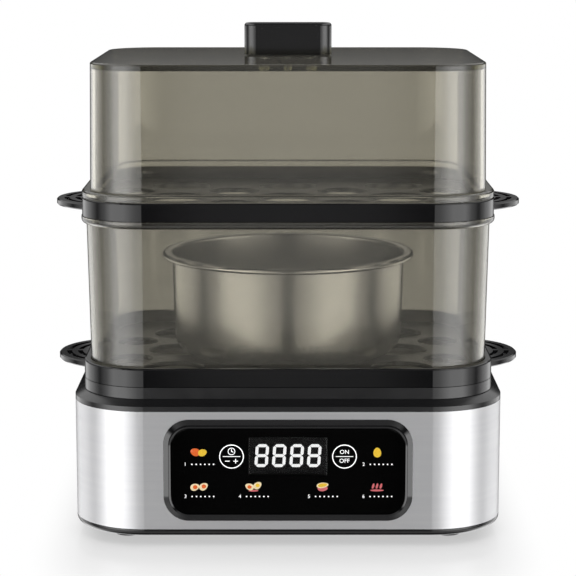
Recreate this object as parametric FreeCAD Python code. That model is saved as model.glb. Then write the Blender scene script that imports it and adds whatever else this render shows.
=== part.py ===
import FreeCAD, Part

import math
import os

# Stacked egg boiler with two egg trays, a steaming chamber and a lid, in millimetres.
# The origin lies on the surface that the feet stand on, under the middle of the base.
# +Z is up and the control panel faces -Y.

# Gaps that every fit uses
seat_gap = 0.3
fit_gap = 0.3
screw_gap = 0.1
cut_overrun = 1.0
height_match = 0.001

# Outline of the trays, which the chamber, the lid and the heating dish follow
tray_length = 202.8
tray_width = 165.4
tray_corner_radius = 31.2

# Trays
tray_height = 8.9
tray_wall = 3.0
tray_floor_thickness = 2.3
tray_edge_radius = 0.8
rib_depth = 2.4
rib_thickness = 2.0
rib_gap = 0.4
egg_end_inset = 44.4
egg_side_inset = 36.9
egg_hole_radius = 15.0
steam_hole_radius = 12.5
side_hole_radius = 11.0
side_hole_offset = 24.0
hole_chamfer = 0.7

# Tray handles, each a flat segment of a disc with arc slots on both sides of a middle rib
handle_radius = 34.5
handle_reach = 18.0
handle_thickness = 3.2
handle_drop = 1.2
handle_rim = 3.8
handle_slot = 2.6
handle_bar = 3.0
handle_middle_rib = 3.4
handle_root_web = 3.0
handle_chamfer = 0.6
handle_slot_rows = 2

# Base body, which stands out from the outline of the trays by the reach of its shoulder
shoulder_reach = 4.8
sleeve_height = 58.7
sleeve_wall = 1.2

# Bottom cover and feet
cover_thickness = 3.6
cover_edge_radius = 2.6
upstand_height = 5.2
upstand_wall = 2.0
foot_height = 5.2
foot_radius = 6.8
foot_edge_radius = 0.8
foot_stem_radius = 2.8
foot_stem_length = 5.4
foot_side_inset = 26.4
foot_front_inset = 25.0
vent_slot_width = 2.4
vent_slot_length = 24.0
vent_slot_pitch = 6.0
vent_slot_count = 7

# Top shell, with the ring that the lower tray stands on and the shelf that holds the dish
lip_height = 2.5
shoulder_height = 2.6
ring_height = 5.8
ring_wall = 2.6
groove_height = 0.5
groove_depth = 0.6
shelf_drop = 7.5
shelf_thickness = 2.4
shelf_reach = 11.4
skirt_height = 6.0
skirt_wall = 2.0
post_radius = 4.0
post_front_inset = 43.5

# Heating dish, its seal and the brackets that pull it down on the shelf
dish_wall = 1.0
dish_depth = 7.5
dish_flange_gap = 0.4
dish_well_gap = 0.6
seal_thickness = 1.4
bracket_thickness = 1.2
bracket_width = 10.0
bracket_overlap = 8.0
bracket_spacing = 40.0
boss_radius = 3.6

# Screws
screw_radius = 1.5
screw_head_radius = 2.9
screw_head_height = 1.8
screw_slot_width = 0.7
screw_slot_depth = 0.8
base_screw_length = 18.0
dish_screw_length = 5.5
board_screw_length = 6.0
knob_screw_length = 9.0
base_screw_recess = 2.0

# Heating element and what senses its temperature
spreader_radius = 50.0
spreader_thickness = 2.0
element_bend_radius = 30.0
element_tube_radius = 3.2
element_leg_length = 46.0
element_bend_x = -14.0
pin_radius = 1.4
pin_length = 7.0
tab_width = 6.3
tab_thickness = 0.9
tab_length = 9.0
thermostat_radius = 8.0
thermostat_height = 9.5
thermostat_ear_length = 30.0
thermostat_ear_width = 7.0
thermostat_ear_thickness = 1.2
thermostat_x = -14.0
fuse_radius = 2.0
fuse_length = 16.0
fuse_lead_radius = 0.6
fuse_lead_length = 6.0
fuse_x = 24.0
clip_width = 6.0
clip_thickness = 0.8
clip_foot = 4.0
sensor_radius = 2.6
sensor_length = 9.0
sensor_flange_radius = 5.0
sensor_flange_thickness = 1.2
sensor_x = 8.0
sensor_gap = 4.8

# Control panel, measured outwards from the front of the sleeve
panel_low_margin = 4.4
panel_high_margin = 3.8
bezel_length = 121.2
bezel_radius = 12.5
bezel_proud = 1.2
bezel_edge = 0.3
bezel_outer_slope = 2.5
bezel_inner_slope = 0.8
neck_inset = 2.0
neck_depth = 9.0
lens_side_margin = 3.8
lens_end_margin = 3.95
lens_radius = 9.0
lens_thickness = 2.0
lens_recess = 0.3
lens_drop = 0.45
lens_ledge = 0.9
board_boss_radius = 2.8
board_boss_inset = 4.2
board_boss_length = 6.0
light_box_gap = 0.6
icon_cell = 8.0
display_length = 39.2
display_height = 19.6
display_margin = 3.9
key_radius = 6.2
key_gap = 1.6
key_margin = 7.6
key_wall = 0.7
board_thickness = 1.6
board_side_margin = 4.6
board_end_margin = 5.25
display_board_radius = 3.0

# Icon cells behind the lens, as shares of half its length and half its height
ICON_SHARES = ((-0.752, 0.437), (-0.752, -0.376), (-0.324, -0.338),
               (0.269, -0.338), (0.775, 0.413), (0.775, -0.362))

# Digits of the display, each made of seven bars
digit_count = 4
digit_length = 6.6
digit_height = 11.4
digit_pitch = 8.8
digit_bar = 1.3
digit_thickness = 0.25

# Power board and the parts that stand on it
power_board_length = 92.0
power_board_width = 56.0
power_board_x = -26.0
power_board_y = 14.0
power_board_rise = 9.0
power_boss_radius = 3.2
power_boss_inset = 4.0
relay_length = 19.0
relay_width = 15.5
relay_height = 15.5
coil_length = 24.0
coil_width = 20.0
coil_height = 14.0
core_length = 12.0
core_width = 26.0
core_height = 18.0
film_capacitor_length = 18.0
film_capacitor_width = 8.5
film_capacitor_height = 14.5
can_radius = 5.0
can_height = 16.0
terminal_length = 22.0
terminal_width = 9.0
terminal_height = 11.0
terminal_ways = 3
terminal_screw_radius = 2.0
terminal_screw_depth = 2.5
buzzer_radius = 6.0
buzzer_height = 7.5
buzzer_hole_radius = 1.2
buzzer_hole_depth = 1.5

# The rear row on the power board: terminals, transformer and can, side by side from the left edge
terminal_inset = 6.5
transformer_gap = 3.2
can_gap = 8.3

# How far back the parts of the rear row stand, as shares of half the width of the board
terminal_share = 0.55
transformer_share = 0.30
can_share = 0.40

# The relay stands behind the screws of the front edge, at a share of half the length of the board
relay_share = -0.68
relay_gap = 0.75

# Places of the other parts of the front row, as shares of half the length and half the width of the board
FILM_CAPACITOR_SHARES = (-0.10, -0.62)
BUZZER_SHARES = (0.66, -0.40)

# Rear plate and the gland for the mains lead
rear_plate_x = 42.0
rear_plate_length = 46.0
rear_plate_height = 30.0
rear_plate_radius = 4.0
rear_neck_inset = 3.0
rear_neck_depth = 3.0
hook_length = 16.0
hook_reach = 1.4
hook_gap = 1.3
gland_bore_radius = 3.3
gland_body_radius = 5.6
gland_flange_radius = 8.0
gland_flange_thickness = 1.5
gland_depth = 8.0
gland_nut_radius = 9.0
gland_nut_height = 4.0
gland_gap = 0.2

# Chamber
chamber_height = 77.9
chamber_wall = 2.4
chamber_draft = 1.6
chamber_side_gap = 0.6
chamber_flange_height = 3.5
chamber_flange_overhang = 0.4
chamber_flange_edge_radius = 2.2

# Lid
lid_height = 65.6
lid_wall = 2.4
lid_top_thickness = 3.3
lid_draft = 0.9
lid_side_gap = 1.0
lid_skirt_depth = 3.0
lid_flange_height = 3.5
lid_flange_edge_radius = 1.2
lid_edge_radius = 0.9
vent_radius = 2.0
vent_pitch = 11.0
vent_front_offset = 22.0
vent_count = 3

# Knob
knob_length = 44.5
knob_width = 12.0
knob_height = 16.1
knob_edge_radius = 1.5
knob_seal_thickness = 0.6
knob_seal_inset = 1.0
knob_screw_spacing = 26.0
# How round the ends of the knob are, as a share of half its width
knob_end_share = 0.98

# Bowl
bowl_side_room = 17.7
bowl_rim_reach = 6.0
bowl_flare = 1.0
bowl_height = 51.5
bowl_wall = 0.9
bowl_corner_radius = 10.0
bowl_bead_radius = 1.5

# Sizes that follow others
egg_pitch_length = tray_length / 2 - egg_end_inset
egg_pitch_width = tray_width / 2 - egg_side_inset
base_length = tray_length + 2 * shoulder_reach
base_width = tray_width + 2 * shoulder_reach
base_corner_radius = tray_corner_radius + shoulder_reach
sensor_y = element_bend_radius - element_tube_radius - sensor_gap - sensor_flange_radius
bezel_height = sleeve_height - panel_low_margin - panel_high_margin
panel_rise = panel_low_margin + bezel_height / 2
lens_length = bezel_length - 2 * lens_side_margin
lens_height = bezel_height - 2 * lens_end_margin
display_rise = lens_height / 2 - display_margin - display_height / 2 - lens_drop
key_rise = lens_height / 2 - key_margin - key_radius - lens_drop
key_spacing = display_length + 2 * (key_gap + key_radius)
display_board_length = bezel_length - 2 * board_side_margin
display_board_height = bezel_height - 2 * board_end_margin
rear_plate_rise = upstand_height + hook_gap + hook_reach + rear_plate_height / 2 - rear_neck_inset
bowl_rim_radius = tray_width / 2 - bowl_side_room
bowl_top_radius = bowl_rim_radius - bowl_rim_reach
bowl_base_radius = bowl_top_radius - bowl_flare

# Heights of the pieces as they stack up
sleeve_z = foot_height + cover_thickness
lip_z = sleeve_z + sleeve_height
shoulder_z = lip_z + lip_height
ring_z = shoulder_z + shoulder_height
ring_top_z = ring_z + ring_height
shelf_z = ring_top_z - shelf_drop
dish_flange_z = shelf_z + seal_thickness
dish_floor_z = dish_flange_z + dish_wall - dish_depth
spreader_z = dish_floor_z - dish_wall - spreader_thickness
panel_z = sleeve_z + panel_rise
rear_plate_z = sleeve_z + rear_plate_rise
power_board_z = sleeve_z + power_board_rise
power_top_z = power_board_z + board_thickness
lower_tray_z = ring_top_z + seat_gap
chamber_z = lower_tray_z + tray_floor_thickness + seat_gap
chamber_top_z = chamber_z + chamber_height
upper_tray_z = chamber_top_z + seat_gap
lid_z = upper_tray_z + tray_height + seat_gap
lid_top_z = lid_z + lid_height
knob_z = lid_top_z + knob_seal_thickness

# Insets of the stacked walls from the outline of the trays
chamber_foot_inset = tray_wall + chamber_side_gap
chamber_top_inset = chamber_foot_inset - chamber_draft
lid_foot_inset = tray_wall + lid_side_gap
lid_top_inset = lid_foot_inset + lid_draft
rib_inset = max(chamber_top_inset + chamber_wall, ring_wall) + rib_gap
shelf_inset = ring_wall + shelf_reach
well_inset = shelf_inset + dish_well_gap
upstand_inset = sleeve_wall + fit_gap
lens_back = bezel_proud - lens_recess - lens_thickness

TRAY_OUTLINE = (tray_length / 2, tray_width / 2, tray_corner_radius)
BASE_OUTLINE = (base_length / 2, base_width / 2, base_corner_radius)
BEZEL_OUTLINE = (bezel_length / 2, bezel_height / 2, bezel_radius)
LENS_OUTLINE = (lens_length / 2, lens_height / 2, lens_radius)
REAR_OUTLINE = (rear_plate_length / 2, rear_plate_height / 2, rear_plate_radius)

SIDES = (-1, 1)
CORNERS = ((-1, -1), (1, -1), (1, 1), (-1, 1))
Vector = FreeCAD.Vector


# Shapes that the pieces are made of

def inset(outline, distance):
    """A rounded rectangle drawn in by a distance on every side."""
    half_length, half_width, radius = outline
    return half_length - distance, half_width - distance, radius - distance


def outline_wire(outline, z):
    """The closed edge of a rounded rectangle at a height."""
    half_length, half_width, radius = outline
    edges = []
    ends = []
    for turn, (x_sign, y_sign) in enumerate(CORNERS):
        middle = Vector(x_sign * (half_length - radius), y_sign * (half_width - radius), z)
        first_angle = math.pi * (1 + turn / 2)
        spots = [middle + Vector(radius * math.cos(angle), radius * math.sin(angle), 0)
                 for angle in (first_angle, first_angle + math.pi / 4, first_angle + math.pi / 2)]
        edges.append(Part.Arc(*spots).toShape())
        ends.append((spots[0], spots[-1]))
    for turn, (_, last) in enumerate(ends):
        following = ends[(turn + 1) % len(ends)][0]
        edges.insert(2 * turn + 1, Part.LineSegment(last, following).toShape())
    return Part.Wire(edges)


def prism(outline, z_low, z_high):
    """A rounded rectangle with upright sides."""
    return Part.Face(outline_wire(outline, z_low)).extrude(Vector(0, 0, z_high - z_low))


def taper(low_outline, z_low, high_outline, z_high):
    """A rounded rectangle that changes its size steadily from one height to another."""
    wires = [outline_wire(low_outline, z_low), outline_wire(high_outline, z_high)]
    return Part.makeLoft(wires, True, True)


def ring(outer, inner, z_low, z_high):
    """An upright wall between two rounded rectangles."""
    return prism(outer, z_low, z_high).cut(prism(inner, z_low - cut_overrun, z_high + cut_overrun))


def cylinder(x, y, radius, z_low, z_high):
    """An upright round bar."""
    return Part.makeCylinder(radius, z_high - z_low, Vector(x, y, z_low))


def block(x_range, y_range, z_range):
    """A box between its lowest and highest corners."""
    spans = [high - low for low, high in (x_range, y_range, z_range)]
    return Part.makeBox(*spans, Vector(x_range[0], y_range[0], z_range[0]))


def chamfered_disc(x, y, radius, chamfer, z_low, z_high):
    """An upright round bar whose two edges are cut at an angle."""
    small = radius - chamfer
    return join([Part.makeCone(small, radius, chamfer, Vector(x, y, z_low)),
                 cylinder(x, y, radius, z_low + chamfer, z_high - chamfer),
                 Part.makeCone(radius, small, chamfer, Vector(x, y, z_high - chamfer))])


def middle_block(x, y, length, width, z_low, z_high):
    """A box that stands around the point x, y."""
    return block((x - length / 2, x + length / 2), (y - width / 2, y + width / 2), (z_low, z_high))


def join(shapes):
    """One solid of shapes that meet."""
    return shapes[0].multiFuse(shapes[1:]).removeSplitter()


def edges_at(shape, z):
    """The edges of a shape that lie flat at a height."""
    return [edge for edge in shape.Edges
            if abs(edge.BoundBox.ZMin - z) < height_match and abs(edge.BoundBox.ZMax - z) < height_match]


def moved(shape, x, y, z):
    """A copy of a shape at another place."""
    copy = shape.copy()
    copy.translate(Vector(x, y, z))
    return copy


def on_front(shape):
    """Stands a shape drawn flat on the front: its Y goes up and its Z points outwards."""
    copy = shape.copy()
    copy.rotate(Vector(), Vector(1, 0, 0), 90)
    copy.translate(Vector(0, -base_width / 2, panel_z))
    return copy


def on_rear(shape):
    """Stands a shape drawn flat on the rear, around the middle of the rear plate."""
    copy = shape.copy()
    copy.rotate(Vector(), Vector(1, 0, 0), 90)
    copy.rotate(Vector(), Vector(0, 0, 1), 180)
    copy.translate(Vector(rear_plate_x, base_width / 2, rear_plate_z))
    return copy


def screw(length):
    """A pan-head screw that points up, with the underside of its head at the origin."""
    head = cylinder(0, 0, screw_head_radius, -screw_head_height, 0)
    cuts = [middle_block(0, 0, a, b, -screw_head_height - cut_overrun, screw_slot_depth - screw_head_height)
            for a, b in ((screw_head_radius, screw_slot_width), (screw_slot_width, screw_head_radius))]
    return join([head.cut(join(cuts)), cylinder(0, 0, screw_radius, 0, length)])


def turned_down(shape):
    """A shape turned upside down about the X axis."""
    copy = shape.copy()
    copy.rotate(Vector(), Vector(1, 0, 0), 180)
    return copy


# Places that two or more pieces share

def panel_opening():
    """The way through the front for the neck of the bezel, with a gap around it."""
    outline = inset(BEZEL_OUTLINE, neck_inset - fit_gap)
    return on_front(prism(outline, -neck_depth - cut_overrun, cut_overrun))


def rear_opening():
    """The way through the rear for the neck of the rear plate, with a gap around it."""
    outline = inset(REAR_OUTLINE, rear_neck_inset - fit_gap)
    return on_rear(prism(outline, -rear_neck_depth - cut_overrun, cut_overrun))


def foot_places():
    """The middle of each foot, named by its corner."""
    x = base_length / 2 - foot_side_inset
    y = base_width / 2 - foot_front_inset
    return {"front_left": (-x, -y), "front_right": (x, -y), "rear_left": (-x, y), "rear_right": (x, y)}


def shelf_middle_x():
    """The middle of the shelf along the short sides of the base."""
    return tray_length / 2 - ring_wall - shelf_reach / 2


def post_places():
    """The posts that the base screws go up into."""
    y = base_width / 2 - post_front_inset
    return [(x_side * shelf_middle_x(), y_side * y) for x_side in SIDES for y_side in SIDES]


def bracket_places():
    """The screws of the dish brackets."""
    return [(x_side * shelf_middle_x(), y_side * bracket_spacing / 2) for x_side in SIDES for y_side in SIDES]


def board_boss_places():
    """The screws of the display board, on the plane of the panel."""
    x = lens_length / 2 - lens_ledge - board_boss_inset
    y = lens_height / 2 - lens_ledge - board_boss_inset
    return [(x_side * x, y_side * y - lens_drop) for x_side in SIDES for y_side in SIDES]


def power_boss_places():
    """The screws of the power board."""
    x = power_board_length / 2 - power_boss_inset
    y = power_board_width / 2 - power_boss_inset
    return [(power_board_x + x_side * x, power_board_y + y_side * y) for x_side in SIDES for y_side in SIDES]


def power_place(shares):
    """A place on the power board from its shares."""
    length_share, width_share = shares
    return (power_board_x + length_share * power_board_length / 2,
            power_board_y + width_share * power_board_width / 2)


def rear_row_places():
    """The middles of the terminals, the transformer and the can, side by side along the rear row."""
    terminal_x = power_board_x - power_board_length / 2 + terminal_inset + terminal_length / 2
    transformer_x = terminal_x + terminal_length / 2 + transformer_gap + coil_length / 2
    can_x = transformer_x + coil_length / 2 + can_gap + can_radius
    row = ((terminal_x, terminal_share), (transformer_x, transformer_share), (can_x, can_share))
    return [(x, power_board_y + share * power_board_width / 2) for x, share in row]


def knob_screw_places():
    """The screws that hold the knob."""
    return [(side * knob_screw_spacing / 2, 0) for side in SIDES]


# Base

def base_sleeve():
    """The steel wrap, open for the control panel and for the rear plate."""
    sleeve = ring(BASE_OUTLINE, inset(BASE_OUTLINE, sleeve_wall), sleeve_z, lip_z)
    return sleeve.cut(panel_opening()).cut(rear_opening())


def top_shell():
    """Lip, sloping shoulder, ring and shelf in one moulding, with its skirt, posts and bosses."""
    lip = prism(BASE_OUTLINE, lip_z, shoulder_z)
    shoulder = taper(BASE_OUTLINE, shoulder_z, TRAY_OUTLINE, ring_z)
    wall = prism(TRAY_OUTLINE, ring_z, ring_top_z)
    shelf_bottom = shelf_z - shelf_thickness
    skirt_outline = inset(BASE_OUTLINE, sleeve_wall + fit_gap)
    skirt = ring(skirt_outline, inset(skirt_outline, skirt_wall), lip_z - skirt_height, shelf_bottom)
    body = join([lip, shoulder, wall, skirt])
    body = body.cut(prism(inset(TRAY_OUTLINE, ring_wall), shelf_z, ring_top_z + cut_overrun))
    body = body.cut(prism(inset(TRAY_OUTLINE, shelf_inset), lip_z - cut_overrun, ring_top_z))
    body = body.cut(prism(inset(skirt_outline, skirt_wall), lip_z - cut_overrun, shelf_bottom))
    body = body.cut(ring(inset(TRAY_OUTLINE, -cut_overrun), inset(TRAY_OUTLINE, groove_depth),
                         ring_z, ring_z + groove_height))
    body = body.cut(panel_opening())
    posts = [cylinder(x, y, post_radius, sleeve_z, shelf_bottom) for x, y in post_places()]
    boss_z = dish_floor_z - dish_wall
    bosses = [cylinder(x, y, boss_radius, boss_z, shelf_bottom) for x, y in bracket_places()]
    body = join([body] + posts + bosses)
    pilot = screw_radius + screw_gap
    for x, y in post_places():
        body = body.cut(cylinder(x, y, pilot, sleeve_z - cut_overrun, sleeve_z + base_screw_length))
    for x, y in bracket_places():
        body = body.cut(cylinder(x, y, pilot, boss_z - cut_overrun, boss_z + dish_screw_length))
    return body


def bottom_cover():
    """The underside, with the rim inside the sleeve, board bosses, foot holes and vent slots."""
    plate = prism(BASE_OUTLINE, foot_height, sleeve_z)
    plate = plate.makeFillet(cover_edge_radius, edges_at(plate, foot_height))
    rim_outline = inset(BASE_OUTLINE, upstand_inset)
    rim = ring(rim_outline, inset(rim_outline, upstand_wall), sleeve_z, sleeve_z + upstand_height)
    rim = rim.cut(panel_opening()).cut(rear_opening())
    bosses = [cylinder(x, y, power_boss_radius, sleeve_z, power_board_z) for x, y in power_boss_places()]
    cover = join([plate, rim] + bosses)
    low = foot_height - cut_overrun
    for x, y in foot_places().values():
        cover = cover.cut(cylinder(x, y, foot_stem_radius + screw_gap, low, sleeve_z + cut_overrun))
    for x, y in post_places():
        cover = cover.cut(cylinder(x, y, screw_radius + fit_gap, low, sleeve_z + cut_overrun))
        cover = cover.cut(cylinder(x, y, screw_head_radius + fit_gap, low, foot_height + base_screw_recess))
    pilot = screw_radius + screw_gap
    for x, y in power_boss_places():
        cover = cover.cut(cylinder(x, y, pilot, power_top_z - board_screw_length,
                                   power_board_z + cut_overrun))
    for row in SIDES:
        for column in range(vent_slot_count):
            x = power_board_x + (column - (vent_slot_count - 1) / 2) * vent_slot_pitch
            y = power_board_y + row * vent_slot_length * 2 / 3
            cover = cover.cut(middle_block(x, y, vent_slot_width, vent_slot_length, low,
                                           sleeve_z + cut_overrun))
    return cover


def rubber_foot(x, y):
    """A foot with the stem that is pushed through the bottom cover."""
    pad = cylinder(x, y, foot_radius, 0, foot_height)
    pad = pad.makeFillet(foot_edge_radius, edges_at(pad, 0))
    return join([pad, cylinder(x, y, foot_stem_radius, foot_height, foot_height + foot_stem_length)])


def base_screws():
    """The screws that clamp the sleeve between the bottom cover and the top shell."""
    z = foot_height + base_screw_recess
    return [moved(screw(base_screw_length), x, y, z) for x, y in post_places()]


# Heating parts

def dish_seal():
    """The flat seal between the shelf and the flange of the dish."""
    outer = inset(TRAY_OUTLINE, ring_wall + dish_flange_gap)
    return ring(outer, inset(TRAY_OUTLINE, shelf_inset), shelf_z, dish_flange_z)


def heating_dish():
    """The shallow pan that boils the water, with its flange on the seal."""
    flange = prism(inset(TRAY_OUTLINE, ring_wall + dish_flange_gap), dish_flange_z, dish_flange_z + dish_wall)
    well = prism(inset(TRAY_OUTLINE, well_inset), dish_floor_z - dish_wall, dish_flange_z + dish_wall)
    hollow = prism(inset(TRAY_OUTLINE, well_inset + dish_wall), dish_floor_z, ring_top_z)
    return join([flange, well]).cut(hollow)


def dish_brackets():
    """The strips under the dish that its screws pull against the bosses of the shell."""
    top = dish_floor_z - dish_wall
    inner = tray_length / 2 - well_inset - bracket_overlap
    outer = shelf_middle_x() + bracket_width / 2
    strips = []
    for x, y in bracket_places():
        side = 1 if x > 0 else -1
        strip = middle_block(side * (inner + outer) / 2, y, outer - inner, bracket_width,
                             top - bracket_thickness, top)
        strips.append(strip.cut(cylinder(x, y, screw_radius + screw_gap,
                                         top - bracket_thickness - cut_overrun, top + cut_overrun)))
    return strips


def dish_screws():
    """The screws of the dish brackets."""
    z = dish_floor_z - dish_wall - bracket_thickness
    return [moved(screw(dish_screw_length), x, y, z) for x, y in bracket_places()]


def heat_spreader():
    """The aluminium disc between the dish and the heating element."""
    return cylinder(0, 0, spreader_radius, spreader_z, spreader_z + spreader_thickness)


def element_z():
    """The height of the middle of the element's tube."""
    return spreader_z - fit_gap - element_tube_radius


def heating_element():
    """The U-shaped tube that heats the dish."""
    bend = Part.makeTorus(element_bend_radius, element_tube_radius, Vector(), Vector(0, 0, 1), -180, 180, 180)
    bend.rotate(Vector(), Vector(0, 0, 1), 90)
    bend.translate(Vector(element_bend_x, 0, element_z()))
    starts = [Vector(element_bend_x, side * element_bend_radius, element_z()) for side in SIDES]
    legs = [Part.makeCylinder(element_tube_radius, element_leg_length, start, Vector(1, 0, 0))
            for start in starts]
    return join([bend] + legs)


def element_terminals():
    """The cold pins of the element, each with its push-on tab."""
    x = element_bend_x + element_leg_length
    terminals = []
    for side in SIDES:
        y = side * element_bend_radius
        pin = Part.makeCylinder(pin_radius, pin_length, Vector(x, y, element_z()), Vector(1, 0, 0))
        tab = block((x + pin_length / 2, x + pin_length / 2 + tab_length),
                    (y - tab_thickness / 2, y + tab_thickness / 2),
                    (element_z() - tab_width / 2, element_z() + tab_width / 2))
        terminals.append(join([pin, tab]))
    return terminals


def thermostat():
    """The disc thermostat that cuts the element off when the dish boils dry."""
    body = cylinder(thermostat_x, 0, thermostat_radius, spreader_z - thermostat_height, spreader_z)
    ears = middle_block(thermostat_x, 0, thermostat_ear_length, thermostat_ear_width,
                        spreader_z - thermostat_ear_thickness, spreader_z)
    tabs = [middle_block(thermostat_x, side * thermostat_radius / 2, tab_width, tab_thickness,
                         spreader_z - thermostat_height - tab_length, spreader_z - thermostat_height)
            for side in SIDES]
    return join([body, ears] + tabs)


def fuse_z():
    """The height of the middle of the thermal fuse."""
    return spreader_z - fit_gap - fuse_radius


def thermal_fuse():
    """The one-shot fuse that lies under the spreader."""
    bars = []
    whole_length = fuse_length + 2 * fuse_lead_length
    for radius, length in ((fuse_radius, fuse_length), (fuse_lead_radius, whole_length)):
        start = Vector(fuse_x - length / 2, 0, fuse_z())
        bars.append(Part.makeCylinder(radius, length, start, Vector(1, 0, 0)))
    return join(bars)


def fuse_clip():
    """The strap that presses the fuse to the spreader."""
    hollow_half = fuse_radius + fit_gap
    low = fuse_z() - hollow_half
    strap = middle_block(fuse_x, 0, clip_width, 2 * (hollow_half + clip_thickness),
                         low - clip_thickness, spreader_z)
    feet = middle_block(fuse_x, 0, clip_width, 2 * (hollow_half + clip_thickness + clip_foot),
                        spreader_z - clip_thickness, spreader_z)
    hollow = middle_block(fuse_x, 0, clip_width + 2 * cut_overrun, 2 * hollow_half,
                          low, spreader_z + cut_overrun)
    return join([strap, feet]).cut(hollow)


def temperature_sensor():
    """The probe that tells the control board how hot the dish is."""
    flange = cylinder(sensor_x, sensor_y, sensor_flange_radius,
                      spreader_z - sensor_flange_thickness, spreader_z)
    return join([flange, cylinder(sensor_x, sensor_y, sensor_radius, spreader_z - sensor_length, spreader_z)])


# Control panel, drawn flat with Z pointing out of the front

def panel_bezel():
    """The frame around the lens, sloping to both sides of its crest, with the neck behind it."""
    flange = join([prism(BEZEL_OUTLINE, 0, bezel_edge),
                   taper(BEZEL_OUTLINE, bezel_edge, inset(BEZEL_OUTLINE, bezel_outer_slope), bezel_proud)])
    neck = prism(inset(BEZEL_OUTLINE, neck_inset), -neck_depth, 0)
    lens_front = lens_back + lens_thickness
    pocket = prism(inset(LENS_OUTLINE, -fit_gap), lens_back, bezel_proud + cut_overrun)
    inner_slope = taper(inset(LENS_OUTLINE, -fit_gap), lens_front,
                        inset(LENS_OUTLINE, -fit_gap - 2 * bezel_inner_slope), lens_front + 2 * lens_recess)
    bore = prism(inset(LENS_OUTLINE, lens_ledge), -neck_depth - cut_overrun, bezel_proud)
    opening = moved(join([pocket, inner_slope, bore]), 0, -lens_drop, 0)
    frame = join([flange, neck]).cut(opening)
    wall = prism(inset(BEZEL_OUTLINE, neck_inset), -neck_depth, -neck_depth + board_boss_length)
    for x, y in board_boss_places():
        reach = board_boss_inset
        side = 1 if x > 0 else -1
        rib = block(sorted((x, x + side * reach)), (y - board_boss_radius, y + board_boss_radius),
                    (-neck_depth, -neck_depth + board_boss_length))
        boss = cylinder(x, y, board_boss_radius, -neck_depth, -neck_depth + board_boss_length)
        frame = join([frame, boss, rib.common(wall)])
    for x, y in board_boss_places():
        frame = frame.cut(cylinder(x, y, screw_radius + screw_gap, -neck_depth - cut_overrun,
                                   board_screw_length - board_thickness - neck_depth))
    return on_front(frame)


def panel_lens():
    """The dark window over the display, the keys and the icons."""
    return on_front(moved(prism(LENS_OUTLINE, lens_back, lens_back + lens_thickness), 0, -lens_drop, 0))


def light_box():
    """The white frame that keeps the light of each icon and of the display apart."""
    front = lens_back - fit_gap
    body = moved(prism(inset(LENS_OUTLINE, lens_ledge + light_box_gap), -neck_depth, front), 0, -lens_drop, 0)
    low = -neck_depth - cut_overrun
    high = front + cut_overrun
    for x_share, y_share in ICON_SHARES:
        body = body.cut(middle_block(x_share * lens_length / 2, y_share * lens_height / 2 - lens_drop,
                                     icon_cell, icon_cell, low, high))
    body = body.cut(middle_block(0, display_rise, display_length + 2 * fit_gap, display_height + 2 * fit_gap,
                                 low, high))
    for side in SIDES:
        body = body.cut(cylinder(side * key_spacing / 2, key_rise, key_radius + fit_gap, low, high))
    for x, y in board_boss_places():
        corner = board_boss_radius + fit_gap
        reach = board_boss_inset + lens_ledge
        x_side = 1 if x > 0 else -1
        y_side = 1 if y > 0 else -1
        body = body.cut(block(sorted((x - x_side * corner, x + x_side * reach)),
                              sorted((y - y_side * corner, y + y_side * reach)), (low, high)))
    return on_front(body)


def display_module():
    """The block of four digits, standing on its board behind the lens."""
    return on_front(middle_block(0, display_rise, display_length, display_height,
                                 -neck_depth, lens_back - fit_gap - digit_thickness))


def digit_bars(x):
    """The seven bars of one digit around x."""
    low = lens_back - fit_gap - digit_thickness
    high = lens_back - fit_gap
    flat_length = digit_length - 2 * digit_bar
    upright_length = digit_height / 2 - 2 * digit_bar
    rise = (digit_height - digit_bar) / 2
    bars = [middle_block(x, display_rise + row * rise, flat_length, digit_bar, low, high)
            for row in (-1, 0, 1)]
    for x_side in SIDES:
        for y_side in SIDES:
            bars.append(middle_block(x + x_side * (digit_length - digit_bar) / 2,
                                     display_rise + y_side * digit_height / 4,
                                     digit_bar, upright_length, low, high))
    return bars


def digit_segments():
    """The lit bars of all digits, on the face of the display module."""
    bars = []
    for place in range(digit_count):
        bars += digit_bars((place - (digit_count - 1) / 2) * digit_pitch)
    return [on_front(bar) for bar in bars]


def touch_springs():
    """The hollow contacts that press against the lens behind the two round keys."""
    contacts = []
    for side in SIDES:
        x = side * key_spacing / 2
        tube = cylinder(x, key_rise, key_radius, -neck_depth, lens_back)
        hole = cylinder(x, key_rise, key_radius - key_wall,
                        -neck_depth - cut_overrun, lens_back + cut_overrun)
        contacts.append(on_front(tube.cut(hole)))
    return contacts


def display_board():
    """The circuit board behind the light box."""
    outline = (display_board_length / 2, display_board_height / 2, display_board_radius)
    low = -neck_depth - board_thickness
    board = moved(prism(outline, low, -neck_depth), 0, -lens_drop, 0)
    for x, y in board_boss_places():
        board = board.cut(cylinder(x, y, screw_radius + screw_gap, low - cut_overrun,
                                   -neck_depth + cut_overrun))
    return on_front(board)


def display_board_screws():
    """The screws that hold the display board to the bezel."""
    z = -neck_depth - board_thickness
    return [on_front(moved(screw(board_screw_length), x, y, z)) for x, y in board_boss_places()]


# Power board

def power_board():
    """The circuit board on the bosses of the bottom cover."""
    board = middle_block(power_board_x, power_board_y, power_board_length, power_board_width,
                         power_board_z, power_top_z)
    for x, y in power_boss_places():
        board = board.cut(cylinder(x, y, screw_radius + screw_gap, power_board_z - cut_overrun,
                                   power_top_z + cut_overrun))
    return board


def power_board_screws():
    """The screws of the power board."""
    return [moved(turned_down(screw(board_screw_length)), x, y, power_top_z) for x, y in power_boss_places()]


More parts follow.
